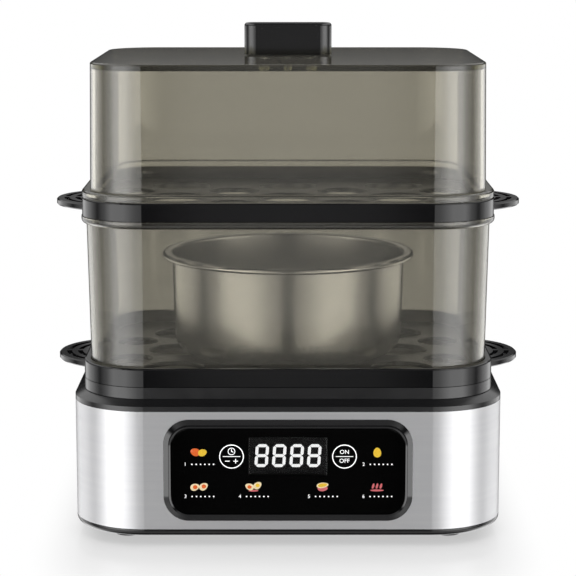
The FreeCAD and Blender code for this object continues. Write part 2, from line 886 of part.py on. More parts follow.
def power_relay():
    """The relay that switches the element."""
    x = power_board_x + relay_share * power_board_length / 2
    front = power_board_y - power_board_width / 2 + power_boss_inset + screw_head_radius + relay_gap
    return middle_block(x, front + relay_width / 2, relay_length, relay_width, power_top_z,
                        power_top_z + relay_height)


def power_transformer():
    """The small transformer: a winding with a core around it."""
    _, (x, y), _ = rear_row_places()
    winding = middle_block(x, y, coil_length, coil_width, power_top_z, power_top_z + coil_height)
    core = middle_block(x, y, core_length, core_width, power_top_z, power_top_z + core_height)
    return join([winding, core])


def filter_capacitor():
    """The film capacitor across the mains."""
    return middle_block(*power_place(FILM_CAPACITOR_SHARES), film_capacitor_length, film_capacitor_width,
                        power_top_z, power_top_z + film_capacitor_height)


def smoothing_capacitor():
    """The round can capacitor."""
    _, _, (x, y) = rear_row_places()
    return cylinder(x, y, can_radius, power_top_z, power_top_z + can_height)


def terminal_block():
    """The screw terminals that the mains lead ends in."""
    (x, y), _, _ = rear_row_places()
    top = power_top_z + terminal_height
    body = middle_block(x, y, terminal_length, terminal_width, power_top_z, top)
    pitch = terminal_length / terminal_ways
    for way in range(terminal_ways):
        screw_x = x + (way - (terminal_ways - 1) / 2) * pitch
        body = body.cut(cylinder(screw_x, y, terminal_screw_radius,
                                 top - terminal_screw_depth, top + cut_overrun))
    return body


def buzzer():
    """The sounder that tells when the eggs are done."""
    x, y = power_place(BUZZER_SHARES)
    top = power_top_z + buzzer_height
    can = cylinder(x, y, buzzer_radius, power_top_z, top)
    return can.cut(cylinder(x, y, buzzer_hole_radius, top - buzzer_hole_depth, top + cut_overrun))


# Rear plate, drawn flat with Z pointing out of the rear

def rear_plate():
    """The black plate that snaps into the sleeve and carries the gland."""
    plate = join([prism(REAR_OUTLINE, 0, bezel_proud),
                  prism(inset(REAR_OUTLINE, rear_neck_inset), -rear_neck_depth, 0)])
    half_height = rear_plate_height / 2 - rear_neck_inset
    hooks = [block((-hook_length / 2, hook_length / 2),
                   sorted((side * (half_height - hook_reach), side * (half_height + hook_reach))),
                   (-rear_neck_depth, -sleeve_wall - fit_gap)) for side in SIDES]
    plate = join([plate] + hooks)
    pocket = cylinder(0, 0, gland_flange_radius + gland_gap, bezel_proud - gland_flange_thickness,
                      bezel_proud + cut_overrun)
    hole = cylinder(0, 0, gland_body_radius + gland_gap, -rear_neck_depth - cut_overrun, bezel_proud)
    return on_rear(plate.cut(pocket).cut(hole))


def cord_gland():
    """The bush that the mains lead passes through."""
    flange = cylinder(0, 0, gland_flange_radius, bezel_proud - gland_flange_thickness, bezel_proud)
    body = cylinder(0, 0, gland_body_radius, -gland_depth, bezel_proud)
    bore = cylinder(0, 0, gland_bore_radius, -gland_depth - cut_overrun, bezel_proud + cut_overrun)
    return on_rear(join([flange, body]).cut(bore))


def gland_nut():
    """The six-sided nut that clamps the gland from inside."""
    low = -rear_neck_depth - gland_nut_height
    angles = [math.pi * side / 3 for side in range(6)]
    corners = [Vector(gland_nut_radius * math.cos(angle), gland_nut_radius * math.sin(angle), low)
               for angle in angles]
    nut = Part.Face(Part.makePolygon(corners + corners[:1])).extrude(Vector(0, 0, gland_nut_height))
    hole = cylinder(0, 0, gland_body_radius + screw_gap, low - cut_overrun, -rear_neck_depth + cut_overrun)
    return on_rear(nut.cut(hole))


# Pieces that stack on the base

def tray_holes(floor_z):
    """The holes of a tray: nine egg seats, the steam holes between them and those at the sides."""
    places = [(column * egg_pitch_length, row * egg_pitch_width, egg_hole_radius)
              for column in (-1, 0, 1) for row in (-1, 0, 1)]
    for x_side in SIDES:
        for y_side in SIDES:
            y = y_side * egg_pitch_width / 2
            places.append((x_side * egg_pitch_length / 2, y, steam_hole_radius))
            places.append((x_side * (egg_pitch_length + side_hole_offset), y, side_hole_radius))
    top = floor_z + tray_floor_thickness
    cutters = []
    for x, y, radius in places:
        shaft = cylinder(x, y, radius, floor_z - rib_depth - cut_overrun, top + hole_chamfer)
        rim = Part.makeCone(radius, radius + 2 * hole_chamfer, 2 * hole_chamfer,
                            Vector(x, y, top - hole_chamfer))
        cutters.append(shaft.fuse(rim))
    return cutters


def tray_handle(side, z):
    """A handle on one end of a tray, with its arc slots."""
    reach_x = tray_length / 2 + handle_reach
    middle_x = reach_x - handle_radius
    low = z - handle_drop
    high = low + handle_thickness
    root_x = tray_length / 2 - tray_wall / 2
    disc = chamfered_disc(middle_x, 0, handle_radius, handle_chamfer, low, high)
    segment = disc.common(block((root_x, reach_x + cut_overrun), (-handle_radius, handle_radius),
                                (low, high)))
    slot_x = tray_length / 2 + handle_root_web
    outer = handle_radius - handle_rim
    for _ in range(handle_slot_rows):
        band = cylinder(middle_x, 0, outer, low - cut_overrun, high + cut_overrun)
        band = band.cut(cylinder(middle_x, 0, outer - handle_slot, low - cut_overrun, high + cut_overrun))
        band = band.common(block((slot_x, reach_x), (-handle_radius, handle_radius),
                                 (low - cut_overrun, high + cut_overrun)))
        band = band.cut(middle_block(reach_x, 0, 2 * handle_radius, handle_middle_rib,
                                     low - cut_overrun, high + cut_overrun))
        segment = segment.cut(band)
        outer -= handle_slot + handle_bar
    below = inset(TRAY_OUTLINE, -chamber_flange_overhang - fit_gap)
    segment = segment.cut(prism(below, low - cut_overrun, z))
    if side < 0:
        segment.rotate(Vector(), Vector(0, 0, 1), 180)
    return segment


def egg_tray(z):
    """A tray whose floor seats the eggs and whose rim holds the piece above."""
    band = prism(TRAY_OUTLINE, z, z + tray_height)
    band = band.makeFillet(tray_edge_radius, edges_at(band, z + tray_height))
    rib = ring(inset(TRAY_OUTLINE, rib_inset), inset(TRAY_OUTLINE, rib_inset + rib_thickness),
               z - rib_depth, z)
    handles = [tray_handle(side, z) for side in SIDES]
    tray = join([band, rib] + handles)
    tray = tray.cut(prism(inset(TRAY_OUTLINE, tray_wall), z + tray_floor_thickness,
                          z + tray_height + cut_overrun))
    for cutter in tray_holes(z):
        tray = tray.cut(cutter)
    return tray


def chamber():
    """The clear wall around the bowl, open at both ends, with the flange that carries the upper tray."""
    wall = taper(inset(TRAY_OUTLINE, chamber_foot_inset), chamber_z, inset(TRAY_OUTLINE, chamber_top_inset),
                 chamber_top_z)
    flange_z = chamber_top_z - chamber_flange_height
    flange = prism(inset(TRAY_OUTLINE, -chamber_flange_overhang), flange_z, chamber_top_z)
    flange = flange.makeFillet(chamber_flange_edge_radius, edges_at(flange, flange_z))
    slope = chamber_draft / chamber_height
    low_inset = chamber_foot_inset + chamber_wall + slope * cut_overrun
    high_inset = chamber_top_inset + chamber_wall - slope * cut_overrun
    hollow = taper(inset(TRAY_OUTLINE, low_inset), chamber_z - cut_overrun,
                   inset(TRAY_OUTLINE, high_inset), chamber_top_z + cut_overrun)
    return join([wall, flange]).cut(hollow)


def lid():
    """The clear lid: drafted walls, a thick top with steam vents, and the flange that sits on the tray."""
    skirt_z = lid_z - lid_skirt_depth
    wall = taper(inset(TRAY_OUTLINE, lid_foot_inset), skirt_z, inset(TRAY_OUTLINE, lid_top_inset), lid_top_z)
    wall = wall.makeFillet(lid_edge_radius, edges_at(wall, lid_top_z))
    flange = prism(TRAY_OUTLINE, lid_z, lid_z + lid_flange_height)
    flange = flange.makeFillet(lid_flange_edge_radius, edges_at(flange, lid_z + lid_flange_height))
    slope = lid_draft / (lid_top_z - skirt_z)
    low_inset = lid_foot_inset + lid_wall - slope * cut_overrun
    hollow = taper(inset(TRAY_OUTLINE, low_inset), skirt_z - cut_overrun,
                   inset(TRAY_OUTLINE, lid_top_inset + lid_wall), lid_top_z - lid_top_thickness)
    body = join([wall, flange]).cut(hollow)
    low = lid_top_z - lid_top_thickness - cut_overrun
    high = lid_top_z + cut_overrun
    for place in range(vent_count):
        x = (place - (vent_count - 1) / 2) * vent_pitch
        body = body.cut(cylinder(x, -vent_front_offset, vent_radius, low, high))
    for x, y in knob_screw_places():
        body = body.cut(cylinder(x, y, screw_radius + screw_gap, low, high))
    return body


def knob_outline(drawn_in):
    """The plan of the knob, a bar with half-round ends, drawn in on every side."""
    half_width = knob_width / 2 - drawn_in
    return knob_length / 2 - drawn_in, half_width, half_width * knob_end_share


def lid_knob():
    """The grip on the lid."""
    grip = prism(knob_outline(0), knob_z, knob_z + knob_height)
    grip = grip.makeFillet(knob_edge_radius, edges_at(grip, knob_z + knob_height))
    for x, y in knob_screw_places():
        grip = grip.cut(cylinder(x, y, screw_radius + screw_gap, knob_z - cut_overrun,
                                 knob_z + knob_screw_length))
    return grip


def knob_seal():
    """The thin seal between the knob and the lid."""
    seal = prism(knob_outline(knob_seal_inset), lid_top_z, knob_z)
    for x, y in knob_screw_places():
        seal = seal.cut(cylinder(x, y, screw_radius + screw_gap, lid_top_z - cut_overrun,
                                 knob_z + cut_overrun))
    return seal


def knob_screws():
    """The screws that go up through the lid into the knob."""
    z = lid_top_z - lid_top_thickness
    return [moved(screw(knob_screw_length), x, y, z) for x, y in knob_screw_places()]


def bowl_body(drawn_in, z_low, z_high):
    """A round cup that widens upwards, with a rounded foot, drawn in by a distance."""
    low_radius = bowl_base_radius - drawn_in
    high_radius = bowl_top_radius - drawn_in
    corner = bowl_corner_radius - drawn_in
    cup = Part.makeCone(low_radius, high_radius, z_high - z_low, Vector(0, 0, z_low))
    return cup.makeFillet(corner, edges_at(cup, z_low))


def bowl():
    """The steel bowl with a flat rim that ends in a rolled bead."""
    z_low = lower_tray_z + tray_floor_thickness + seat_gap
    z_high = z_low + bowl_height
    bead_z = z_high - bowl_bead_radius
    bead_middle = bowl_rim_radius - bowl_bead_radius
    rim = cylinder(0, 0, bead_middle, z_high - bowl_wall, z_high)
    bead = Part.makeTorus(bead_middle, bowl_bead_radius, Vector(0, 0, bead_z))
    outside = join([bowl_body(0, z_low, z_high), rim, bead])
    return outside.cut(bowl_body(bowl_wall, z_low + bowl_wall, z_high + cut_overrun))


def save(name, shape):
    """Writes one piece, or a group of alike pieces, to its file."""
    if isinstance(shape, list):
        shape = Part.makeCompound(shape)
    shape.exportStep("parts/" + name + ".step")
    print(name, len(shape.Solids), round(shape.Volume, 1), shape.isValid())


PIECES = (base_sleeve, top_shell, bottom_cover, base_screws, dish_seal, heating_dish, dish_brackets,
          dish_screws, heat_spreader, heating_element, element_terminals, thermostat, thermal_fuse,
          fuse_clip, temperature_sensor, panel_bezel, panel_lens, light_box, display_module,
          digit_segments, touch_springs, display_board, display_board_screws, power_board,
          power_board_screws, power_relay, power_transformer, filter_capacitor, smoothing_capacitor,
          terminal_block, buzzer, rear_plate, cord_gland, gland_nut, chamber, lid, lid_knob, knob_seal,
          knob_screws, bowl)

os.makedirs("parts", exist_ok=True)
for piece in PIECES:
    save(piece.__name__, piece())
for corner_name, (foot_x, foot_y) in foot_places().items():
    save("foot_" + corner_name, rubber_foot(foot_x, foot_y))
save("lower_tray", egg_tray(lower_tray_z))
save("upper_tray", egg_tray(upper_tray_z))
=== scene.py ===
"""The looks of a countertop egg boiler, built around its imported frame.

Lengths are metres. The origin lies on the surface that the feet stand on, under the middle of the
base. +Z is up and the control panel faces -Y.
"""
import logging
import math
from dataclasses import dataclass
from enum import Enum

import bmesh
import bpy
import numpy as np
from mathutils import Matrix, Vector


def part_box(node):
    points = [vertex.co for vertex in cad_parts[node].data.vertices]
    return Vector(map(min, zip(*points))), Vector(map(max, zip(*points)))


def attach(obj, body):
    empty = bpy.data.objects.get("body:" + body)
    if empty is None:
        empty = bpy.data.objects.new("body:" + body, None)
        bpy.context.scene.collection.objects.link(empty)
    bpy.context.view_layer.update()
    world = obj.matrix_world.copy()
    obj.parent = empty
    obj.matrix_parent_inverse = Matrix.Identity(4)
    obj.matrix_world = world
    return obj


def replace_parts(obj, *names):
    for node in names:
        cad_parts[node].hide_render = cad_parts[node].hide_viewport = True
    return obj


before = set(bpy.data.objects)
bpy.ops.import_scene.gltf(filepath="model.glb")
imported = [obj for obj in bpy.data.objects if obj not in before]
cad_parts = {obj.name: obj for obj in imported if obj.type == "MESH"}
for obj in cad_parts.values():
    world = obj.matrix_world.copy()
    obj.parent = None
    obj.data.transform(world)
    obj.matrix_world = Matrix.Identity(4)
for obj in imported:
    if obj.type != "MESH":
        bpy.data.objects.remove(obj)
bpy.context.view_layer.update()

MM = 0.001
MERGE_DISTANCE = 0.001 * MM
# The size of the smudges that hands and cloths leave in a gloss.
SMUDGE = 14 * MM
# How far brushing stretches a highlight, and the quarter turn that sets it across level lines.
STRETCH = 0.85
ACROSS_LINES = 0.25
# The edges of thin plates stay sharp where they turn by more degrees than this.
PLATE_SHARP = 20.0
# A font's size over the height of the letters that it gives.
FONT_SIZE_PER_HEIGHT = 1.45
log = logging.getLogger("egg_boiler")

Colour = tuple[float, float, float, float]
Stops = tuple[tuple[float, float], ...]


def linear(code: str) -> Colour:
    """Turns an sRGB hex colour into the linear colour that a socket takes.

    Args:
        code: the colour as a hash and six hex digits.

    Returns:
        Red, green, blue and an alpha of one.
    """
    channels = [int(code[place:place + 2], 16) / 255 for place in (1, 3, 5)]
    red, green, blue = [c / 12.92 if c <= 0.04045 else ((c + 0.055) / 1.055) ** 2.4 for c in channels]
    return red, green, blue, 1.0


def add(tree: bpy.types.NodeTree, kind: str, inputs: dict | None = None,
        **settings: object) -> bpy.types.Node:
    """Adds one node with its settings, values and links.

    Args:
        tree: the node tree that gets the node.
        kind: the node's type without its "ShaderNode".
        inputs: a value or another node's output for each input, by its name or number.
        settings: the node's own options, by their names.

    Returns:
        The new node.
    """
    node = tree.nodes.new("ShaderNode" + kind)
    for name, value in settings.items():
        setattr(node, name, value)
    for place, value in (inputs or {}).items():
        if isinstance(value, bpy.types.NodeSocket):
            tree.links.new(value, node.inputs[place])
        else:
            node.inputs[place].default_value = value
    return node


def maths(tree: bpy.types.NodeTree, operation: str, *values: object) -> bpy.types.NodeSocket:
    """Adds one step of arithmetic.

    Args:
        tree: the node tree that gets the node.
        operation: what it does, in Blender's word for it.
        values: the numbers or other nodes' outputs that it takes, in order.

    Returns:
        The result.
    """
    return add(tree, "Math", dict(enumerate(values)), operation=operation).outputs[0]


def mixed(tree: bpy.types.NodeTree, share: bpy.types.NodeSocket, first: object, second: object,
          kind: str = "FLOAT") -> bpy.types.NodeSocket:
    """Mixes two numbers or two colours.

    Args:
        tree: the node tree that gets the node.
        share: how much of the second there is, from 0 to 1.
        first: what a share of 0 gives.
        second: what a share of 1 gives.
        kind: "FLOAT" for numbers or "RGBA" for colours.

    Returns:
        The mixture.
    """
    place, result = {"FLOAT": (2, 0), "RGBA": (6, 2)}[kind]
    node = add(tree, "Mix", {0: share, place: first, place + 1: second}, data_type=kind)
    return node.outputs[result]


def bumped(tree: bpy.types.NodeTree, height: bpy.types.NodeSocket, distance: float,
           strength: float | bpy.types.NodeSocket = 1.0) -> bpy.types.NodeSocket:
    """Tilts a surface as if a noise were its height.

    Args:
        tree: the node tree that gets the node.
        height: the noise.
        distance: how high its 1 is, in metres.
        strength: how much of the tilt there is.

    Returns:
        The tilted normal.
    """
    return add(tree, "Bump", {"Height": height, "Strength": strength,
                              "Distance": distance}).outputs["Normal"]


def surface(tree: bpy.types.NodeTree, inputs: dict) -> None:
    """Ends a material in one shader.

    Args:
        tree: the material's node tree.
        inputs: a value or another node's output for the shader's inputs, by their names.
    """
    shader = add(tree, "BsdfPrincipled", inputs)
    add(tree, "OutputMaterial", {"Surface": shader.outputs["BSDF"]})


def curve(tree: bpy.types.NodeTree, value: bpy.types.NodeSocket, stops: Stops) -> bpy.types.NodeSocket:
    """Reads a value off a line through given points, held level beyond its ends.

    Args:
        tree: the node tree that gets the nodes.
        value: where along the line to read.
        stops: the points of the line, as pairs of place and height, in rising places.

    Returns:
        The height of the line at the value.
    """
    first, last = stops[0][0], stops[-1][0]
    peak = max(height for _, height in stops)
    share = add(tree, "MapRange", {"Value": value, "From Min": first, "From Max": last})
    ramp = add(tree, "ValToRGB", {"Fac": share.outputs["Result"]})
    line = ramp.color_ramp
    while len(line.elements) < len(stops):
        line.elements.new(1.0)
    for element, (place, height) in zip(line.elements, stops):
        element.position = (place - first) / (last - first)
        element.color = (height / peak,) * 3 + (1.0,)
    return maths(tree, "MULTIPLY", ramp.outputs["Color"], peak)


# Finishes


@dataclass(frozen=True)
class Finish:
    """A surface that pieces wear, made as a material the first time that it's asked for."""

    name: str

    def material(self) -> bpy.types.Material:
        """Returns the material, made if it isn't there yet."""
        made = bpy.data.materials.get(self.name)
        if made is None:
            made = bpy.data.materials.new(self.name)
            made.use_nodes = True
            made.node_tree.nodes.clear()
            self.build(made.node_tree)
        return made

    def build(self, tree: bpy.types.NodeTree) -> None:
        """Builds the nodes between the coordinates and the material's output."""
        raise NotImplementedError


def object_noise(tree: bpy.types.NodeTree, period: tuple[float, float, float], detail: float,
                 roughness: float = 0.5) -> bpy.types.NodeSocket:
    """Adds a noise in object space whose blotches have a real size.

    Args:
        tree: the node tree that gets the nodes.
        period: the size of a blotch along X, Y and Z in metres.
        detail: how many finer layers lie on the first one.
        roughness: how strong each finer layer is.

    Returns:
        The noise, from 0 to 1 about 0.5.
    """
    place = add(tree, "TexCoord").outputs["Object"]
    scaled = add(tree, "Mapping", {"Vector": place, "Scale": tuple(1 / size for size in period)})
    return add(tree, "TexNoise", {"Vector": scaled.outputs["Vector"], "Scale": 1.0, "Detail": detail,
                                  "Roughness": roughness}).outputs["Fac"]


def spread(tree: bpy.types.NodeTree, value: bpy.types.NodeSocket, low: float,
           high: float) -> bpy.types.NodeSocket:
    """Stretches the middle of a noise over a range.

    Args:
        tree: the node tree that gets the node.
        value: the noise.
        low: what the darker third of the noise becomes.
        high: what the lighter third becomes.

    Returns:
        The value in its new range.
    """
    return add(tree, "MapRange", {"Value": value, "From Min": 0.33, "From Max": 0.67, "To Min": low,
                                  "To Max": high}).outputs["Result"]


@dataclass(frozen=True)
class MouldedPlastic(Finish):
    """Injection-moulded plastic, glossy from a polished mould or matt from an eroded one.

    The eye gets an even dark colour, a gloss that is a little uneven where hands and cloths have
    been, and the faint waves or grain of the mould.
    """

    colour: str
    roughness: float
    grain: float = 1.6 * MM
    grain_height: float = 0.0006 * MM
    ior: float = 1.54
    wear: float = 0.15

    def gloss(self, tree: bpy.types.NodeTree) -> bpy.types.NodeSocket:
        """Adds the roughness, which the smudges make uneven.

        Args:
            tree: the node tree that gets the nodes.

        Returns:
            The roughness.
        """
        smudges = object_noise(tree, (SMUDGE,) * 3, 4.0, 0.6)
        return spread(tree, smudges, self.roughness * (1 - self.wear), self.roughness * (1 + self.wear))

    def build(self, tree: bpy.types.NodeTree) -> None:
        """Builds the gloss, the grain and the shader."""
        grain = object_noise(tree, (self.grain,) * 3, 2.0)
        surface(tree, {"Base Color": linear(self.colour), "Roughness": self.gloss(tree), "IOR": self.ior,
                       "Normal": bumped(tree, grain, self.grain_height)})


@dataclass(frozen=True)
class GrainedFloorPlastic(MouldedPlastic):
    """Moulded plastic from a mould that is polished at the sides and eroded on the level faces.

    The eye gets mirror-like upright walls and carrying loops, and a duller, paler floor, which ends
    at half its length from the middle.
    """

    floor_half: float = 100.5 * MM
    floor_roughness: float = 0.3
    floor_grain: float = 0.8 * MM
    floor_height: float = 0.004 * MM

    def build(self, tree: bpy.types.NodeTree) -> None:
        """Builds the gloss by how level the face is, the grain and the shader."""
        facing = add(tree, "SeparateXYZ", {"Vector": add(tree, "TexCoord").outputs["Normal"]})
        upward = add(tree, "MapRange", {"Value": facing.outputs["Z"], "From Min": 0.9, "From Max": 0.99})
        place = add(tree, "SeparateXYZ", {"Vector": add(tree, "TexCoord").outputs["Object"]})
        aside = maths(tree, "ABSOLUTE", place.outputs["X"])
        inside = maths(tree, "LESS_THAN", aside, self.floor_half)
        level = maths(tree, "MULTIPLY", upward.outputs["Result"], inside)
        grain = object_noise(tree, (self.floor_grain,) * 3, 2.0)
        surface(tree, {"Base Color": linear(self.colour), "IOR": self.ior,
                       "Roughness": mixed(tree, level, self.gloss(tree), self.floor_roughness),
                       "Normal": bumped(tree, grain, self.floor_height, level)})


@dataclass(frozen=True)
class BrushedSteel(Finish):
    """Stainless steel sheet with a long brushed line along its length.

    The eye gets a cool grey metal whose highlights stretch up and down across the brushing, cut
    by fine level lines. The real lines are about 0.1 mm apart, and are drawn coarser to show.
    """

    colour: str = "#e0e0e1"
    dark_colour: str = "#dadadc"
    roughness: float = 0.47
    line_pitch: float = 0.45 * MM
    line_length: float = 70 * MM
    line_depth: float = 0.0002 * MM

    def build(self, tree: bpy.types.NodeTree) -> None:
        """Builds two sets of level lines, the grey between them and the stretched gloss."""
        fine = object_noise(tree, (self.line_length, self.line_length, self.line_pitch), 3.0, 0.7)
        broad = object_noise(tree, (self.line_length, self.line_length, 5 * self.line_pitch), 2.0)
        both = maths(tree, "MULTIPLY", maths(tree, "ADD", fine, broad), 0.5)
        shade = mixed(tree, spread(tree, both, 0.0, 1.0), linear(self.dark_colour),
                      linear(self.colour), "RGBA")
        around = add(tree, "Tangent", direction_type="RADIAL", axis="Z")
        surface(tree, {"Base Color": shade, "Metallic": 1.0,
                       "Roughness": spread(tree, fine, self.roughness * 0.9, self.roughness * 1.1),
                       "Anisotropic": STRETCH, "Anisotropic Rotation": ACROSS_LINES,
                       "Normal": bumped(tree, fine, self.line_depth),
                       "Tangent": around.outputs["Tangent"]})


@dataclass(frozen=True)
class SpunSteel(Finish):
    """Stainless steel pressed round and polished on a lathe.

    The eye gets a bright soft metal with faint rings around the upright axis, and a rim with more
    polish. The real rings are finer than a hair, and are drawn coarser to show.
    """

    colour: str = "#cccbc9"
    dark_colour: str = "#bebdbb"
    roughness: float = 0.24
    rim_start: float = 60.4 * MM
    rim_roughness: float = 0.1
    ring_pitch: float = 0.7 * MM

    def build(self, tree: bpy.types.NodeTree) -> None:
        """Builds rings from the distance to the axis and the height, and the stretched gloss."""
        place = add(tree, "TexCoord").outputs["Object"]
        parts = add(tree, "SeparateXYZ", {"Vector": place})
        level = add(tree, "CombineXYZ", {"X": parts.outputs["X"], "Y": parts.outputs["Y"]})
        distance = add(tree, "VectorMath", {0: level.outputs["Vector"]}, operation="LENGTH")
        rings = add(tree, "CombineXYZ", {"X": distance.outputs["Value"], "Z": parts.outputs["Z"]})
        noise = add(tree, "TexNoise", {"Vector": rings.outputs["Vector"], "Scale": 1 / self.ring_pitch,
                                       "Detail": 3.0, "Roughness": 0.7}).outputs["Fac"]
        shade = mixed(tree, spread(tree, noise, 0.0, 1.0), linear(self.dark_colour),
                      linear(self.colour), "RGBA")
        around = add(tree, "Tangent", direction_type="RADIAL", axis="Z")
        rim = add(tree, "MapRange", {"Value": distance.outputs["Value"], "From Min": self.rim_start,
                                     "From Max": self.rim_start + MM})
        spun = spread(tree, noise, self.roughness * 0.85, self.roughness * 1.15)
        surface(tree, {"Base Color": shade, "Metallic": 1.0,
                       "Roughness": mixed(tree, rim.outputs["Result"], spun, self.rim_roughness),
                       "Anisotropic": STRETCH, "Anisotropic Rotation": ACROSS_LINES,
                       "Tangent": around.outputs["Tangent"]})


@dataclass(frozen=True)
class PlainMetal(Finish):
    """Plated, rolled or drawn metal of small parts: a bright colour with small dull spots."""

    colour: str
    roughness: float
    spot: float = 1.2 * MM

    def build(self, tree: bpy.types.NodeTree) -> None:
        """Builds the dull spots and the shader."""
        spots = object_noise(tree, (self.spot,) * 3, 3.0, 0.6)
        surface(tree, {"Base Color": linear(self.colour), "Metallic": 1.0,
                       "Roughness": spread(tree, spots, self.roughness * 0.7, self.roughness * 1.4)})


@dataclass(frozen=True)
class ClearPlastic(Finish):
    """Smoke-tinted clear polycarbonate, moulded with polished faces.

    The eye gets an olive-grey glass that darkens with each face it looks through, so that edges and
    flanges are darkest.

    Attributes:
        tint: the colour that each face gives to what is seen through it.
        inner_tint: the colour that the plastic itself goes towards.
        density: how strong that is over a metre.
        shade: the colour of the light that lamps send through.
        mirrored_tint: the colour that each face gives to what is mirrored through it.
        haze: how much of a face is cloudy.
        ior: how strongly it bends light.
    """

    tint: str
    inner_tint: str
    density: float
    shade: str
    mirrored_tint: str
    haze: float = 0.0
    ior: float = 1.585

    def build(self, tree: bpy.types.NodeTree) -> None:
        """Builds the faces, the tint between them, and the shade that lamps cast through them.

        What another surface mirrors through the plastic comes straight through, tinted. A ray that
        starts inside the plastic has met no straight face before, and bends out of it as it should.
        """
        clear = add(tree, "BsdfPrincipled", {
            "Base Color": linear(self.tint), "Roughness": 0.0, "IOR": self.ior,
            "Transmission Weight": 1.0 - self.haze})
        shade = add(tree, "BsdfTransparent", {"Color": linear(self.shade)})
        passing = add(tree, "BsdfTransparent", {"Color": linear(self.mirrored_tint)})
        path = add(tree, "LightPath")
        entered = maths(tree, "LESS_THAN", path.outputs["Transparent Depth"], 0.5)
        within = maths(tree, "MULTIPLY", entered, add(tree, "NewGeometry").outputs["Backfacing"])
        passed = add(tree, "Math", {0: path.outputs["Is Reflection Ray"], 1: within},
                     operation="SUBTRACT", use_clamp=True)
        mirrored = add(tree, "MixShader", {0: passed.outputs[0], 1: clear.outputs["BSDF"],
                                           2: passing.outputs["BSDF"]})
        both = add(tree, "MixShader", {0: path.outputs["Is Shadow Ray"], 1: mirrored.outputs["Shader"],
                                       2: shade.outputs["BSDF"]})
        inner = add(tree, "VolumeAbsorption", {"Color": linear(self.inner_tint), "Density": self.density})
        add(tree, "OutputMaterial", {"Surface": both.outputs["Shader"], "Volume": inner.outputs["Volume"]})


@dataclass(frozen=True)
class Rubber(Finish):
    """Soft rubber: a dull surface with a dusty bloom and a fine pitted skin."""

    colour: str
    roughness: float = 0.65
    pit: float = 0.35 * MM

    def build(self, tree: bpy.types.NodeTree) -> None:
        """Builds the pits, the bloom and the shader."""
        pits = object_noise(tree, (self.pit,) * 3, 2.0)
        surface(tree, {"Base Color": linear(self.colour), "IOR": 1.52, "Sheen Weight": 0.15,
                       "Roughness": spread(tree, pits, self.roughness * 0.9, self.roughness * 1.1),
                       "Normal": bumped(tree, pits, 0.01 * MM)})


@dataclass(frozen=True)
class CircuitBoard(Finish):
    """Glass-fibre board under green solder mask, with the tracks showing as paler level lines."""

    mask: str = "#1c5a35"
    track: str = "#2f7a4b"
    track_pitch: float = 2.5 * MM

    def build(self, tree: bpy.types.NodeTree) -> None:
        """Builds the tracks out of steps in a stretched noise, and the shader."""
        runs = object_noise(tree, (9 * self.track_pitch, self.track_pitch, self.track_pitch), 1.0)
        edges = maths(tree, "GREATER_THAN", runs, 0.5)
        shade = mixed(tree, edges, linear(self.mask), linear(self.track), "RGBA")
        surface(tree, {"Base Color": shade, "Roughness": 0.35, "IOR": 1.5})


@dataclass(frozen=True)
class PanelPrint(Finish):
    """Screen-printed ink under a gloss varnish that glows: the real light of the lit digits, and a painted
    glow on ink over the opaque lens.
    """

    colour: str
    # Emission strength: real light for the digits, a painted glow for the print on the lens.
    glow: float

    def build(self, tree: bpy.types.NodeTree) -> None:
        """Builds the uneven ink, its glow (painted light where no lamp is behind the ink) and the shader.
        """
        ink = object_noise(tree, (0.4 * MM,) * 3, 2.0)
        dimmer = tuple(0.85 * channel for channel in linear(self.colour)[:3]) + (1.0,)
        shade = mixed(tree, spread(tree, ink, 0.0, 1.0), dimmer, linear(self.colour), "RGBA")
        surface(tree, {"Base Color": shade, "Roughness": 0.12, "IOR": 1.49,
                       "Emission Color": shade, "Emission Strength": self.glow})


# Plastics are ABS unless they say otherwise. Each comment says what the surface gives the eye.
# Deep black with a sharp mirror gloss.
GLOSS_BLACK = MouldedPlastic("gloss_black_abs", "#111112", 0.06)
# Black with a soft broad sheen.
SATIN_BLACK = MouldedPlastic("satin_black_abs", "#131314", 0.2, 0.5 * MM, 0.002 * MM)
# Black with a fine even sheen, as from a lightly eroded mould.
COVER_BLACK = MouldedPlastic("cover_black_abs", "#0e0e0f", 0.16, 0.5 * MM, 0.003 * MM)
# Dull black with a fine spark-eroded grain.
MATT_BLACK = MouldedPlastic("matt_black_abs", "#19191a", 0.5, 0.4 * MM, 0.012 * MM)
# Black acrylic, polished flat like glass.
LENS_BLACK = MouldedPlastic("lens_black_acrylic", "#020202", 0.03, 3 * MM, 0.0, 1.49, 0.3)
# Deep black with a mirror gloss outside, and an eroded grain on its level floor.
TRAY_BLACK = GrainedFloorPlastic("gloss_black_polypropylene", "#0e0e0f", 0.06, ior=1.45)
SLEEVE_STEEL = BrushedSteel("brushed_430_steel")
BOWL_STEEL = SpunSteel("spun_304_steel")
DISH_STEEL = SpunSteel("pressed_304_steel", "#bdbbb7", "#a3a19d", 0.3, rim_start=1.0)
# Clear olive-grey, darker with each wall behind another.
SMOKE_CLEAR = ClearPlastic("smoke_polycarbonate", "#bdbab0", "#8c881e", 16.0, "#e2e1dc", "#f0efec", 0.035)
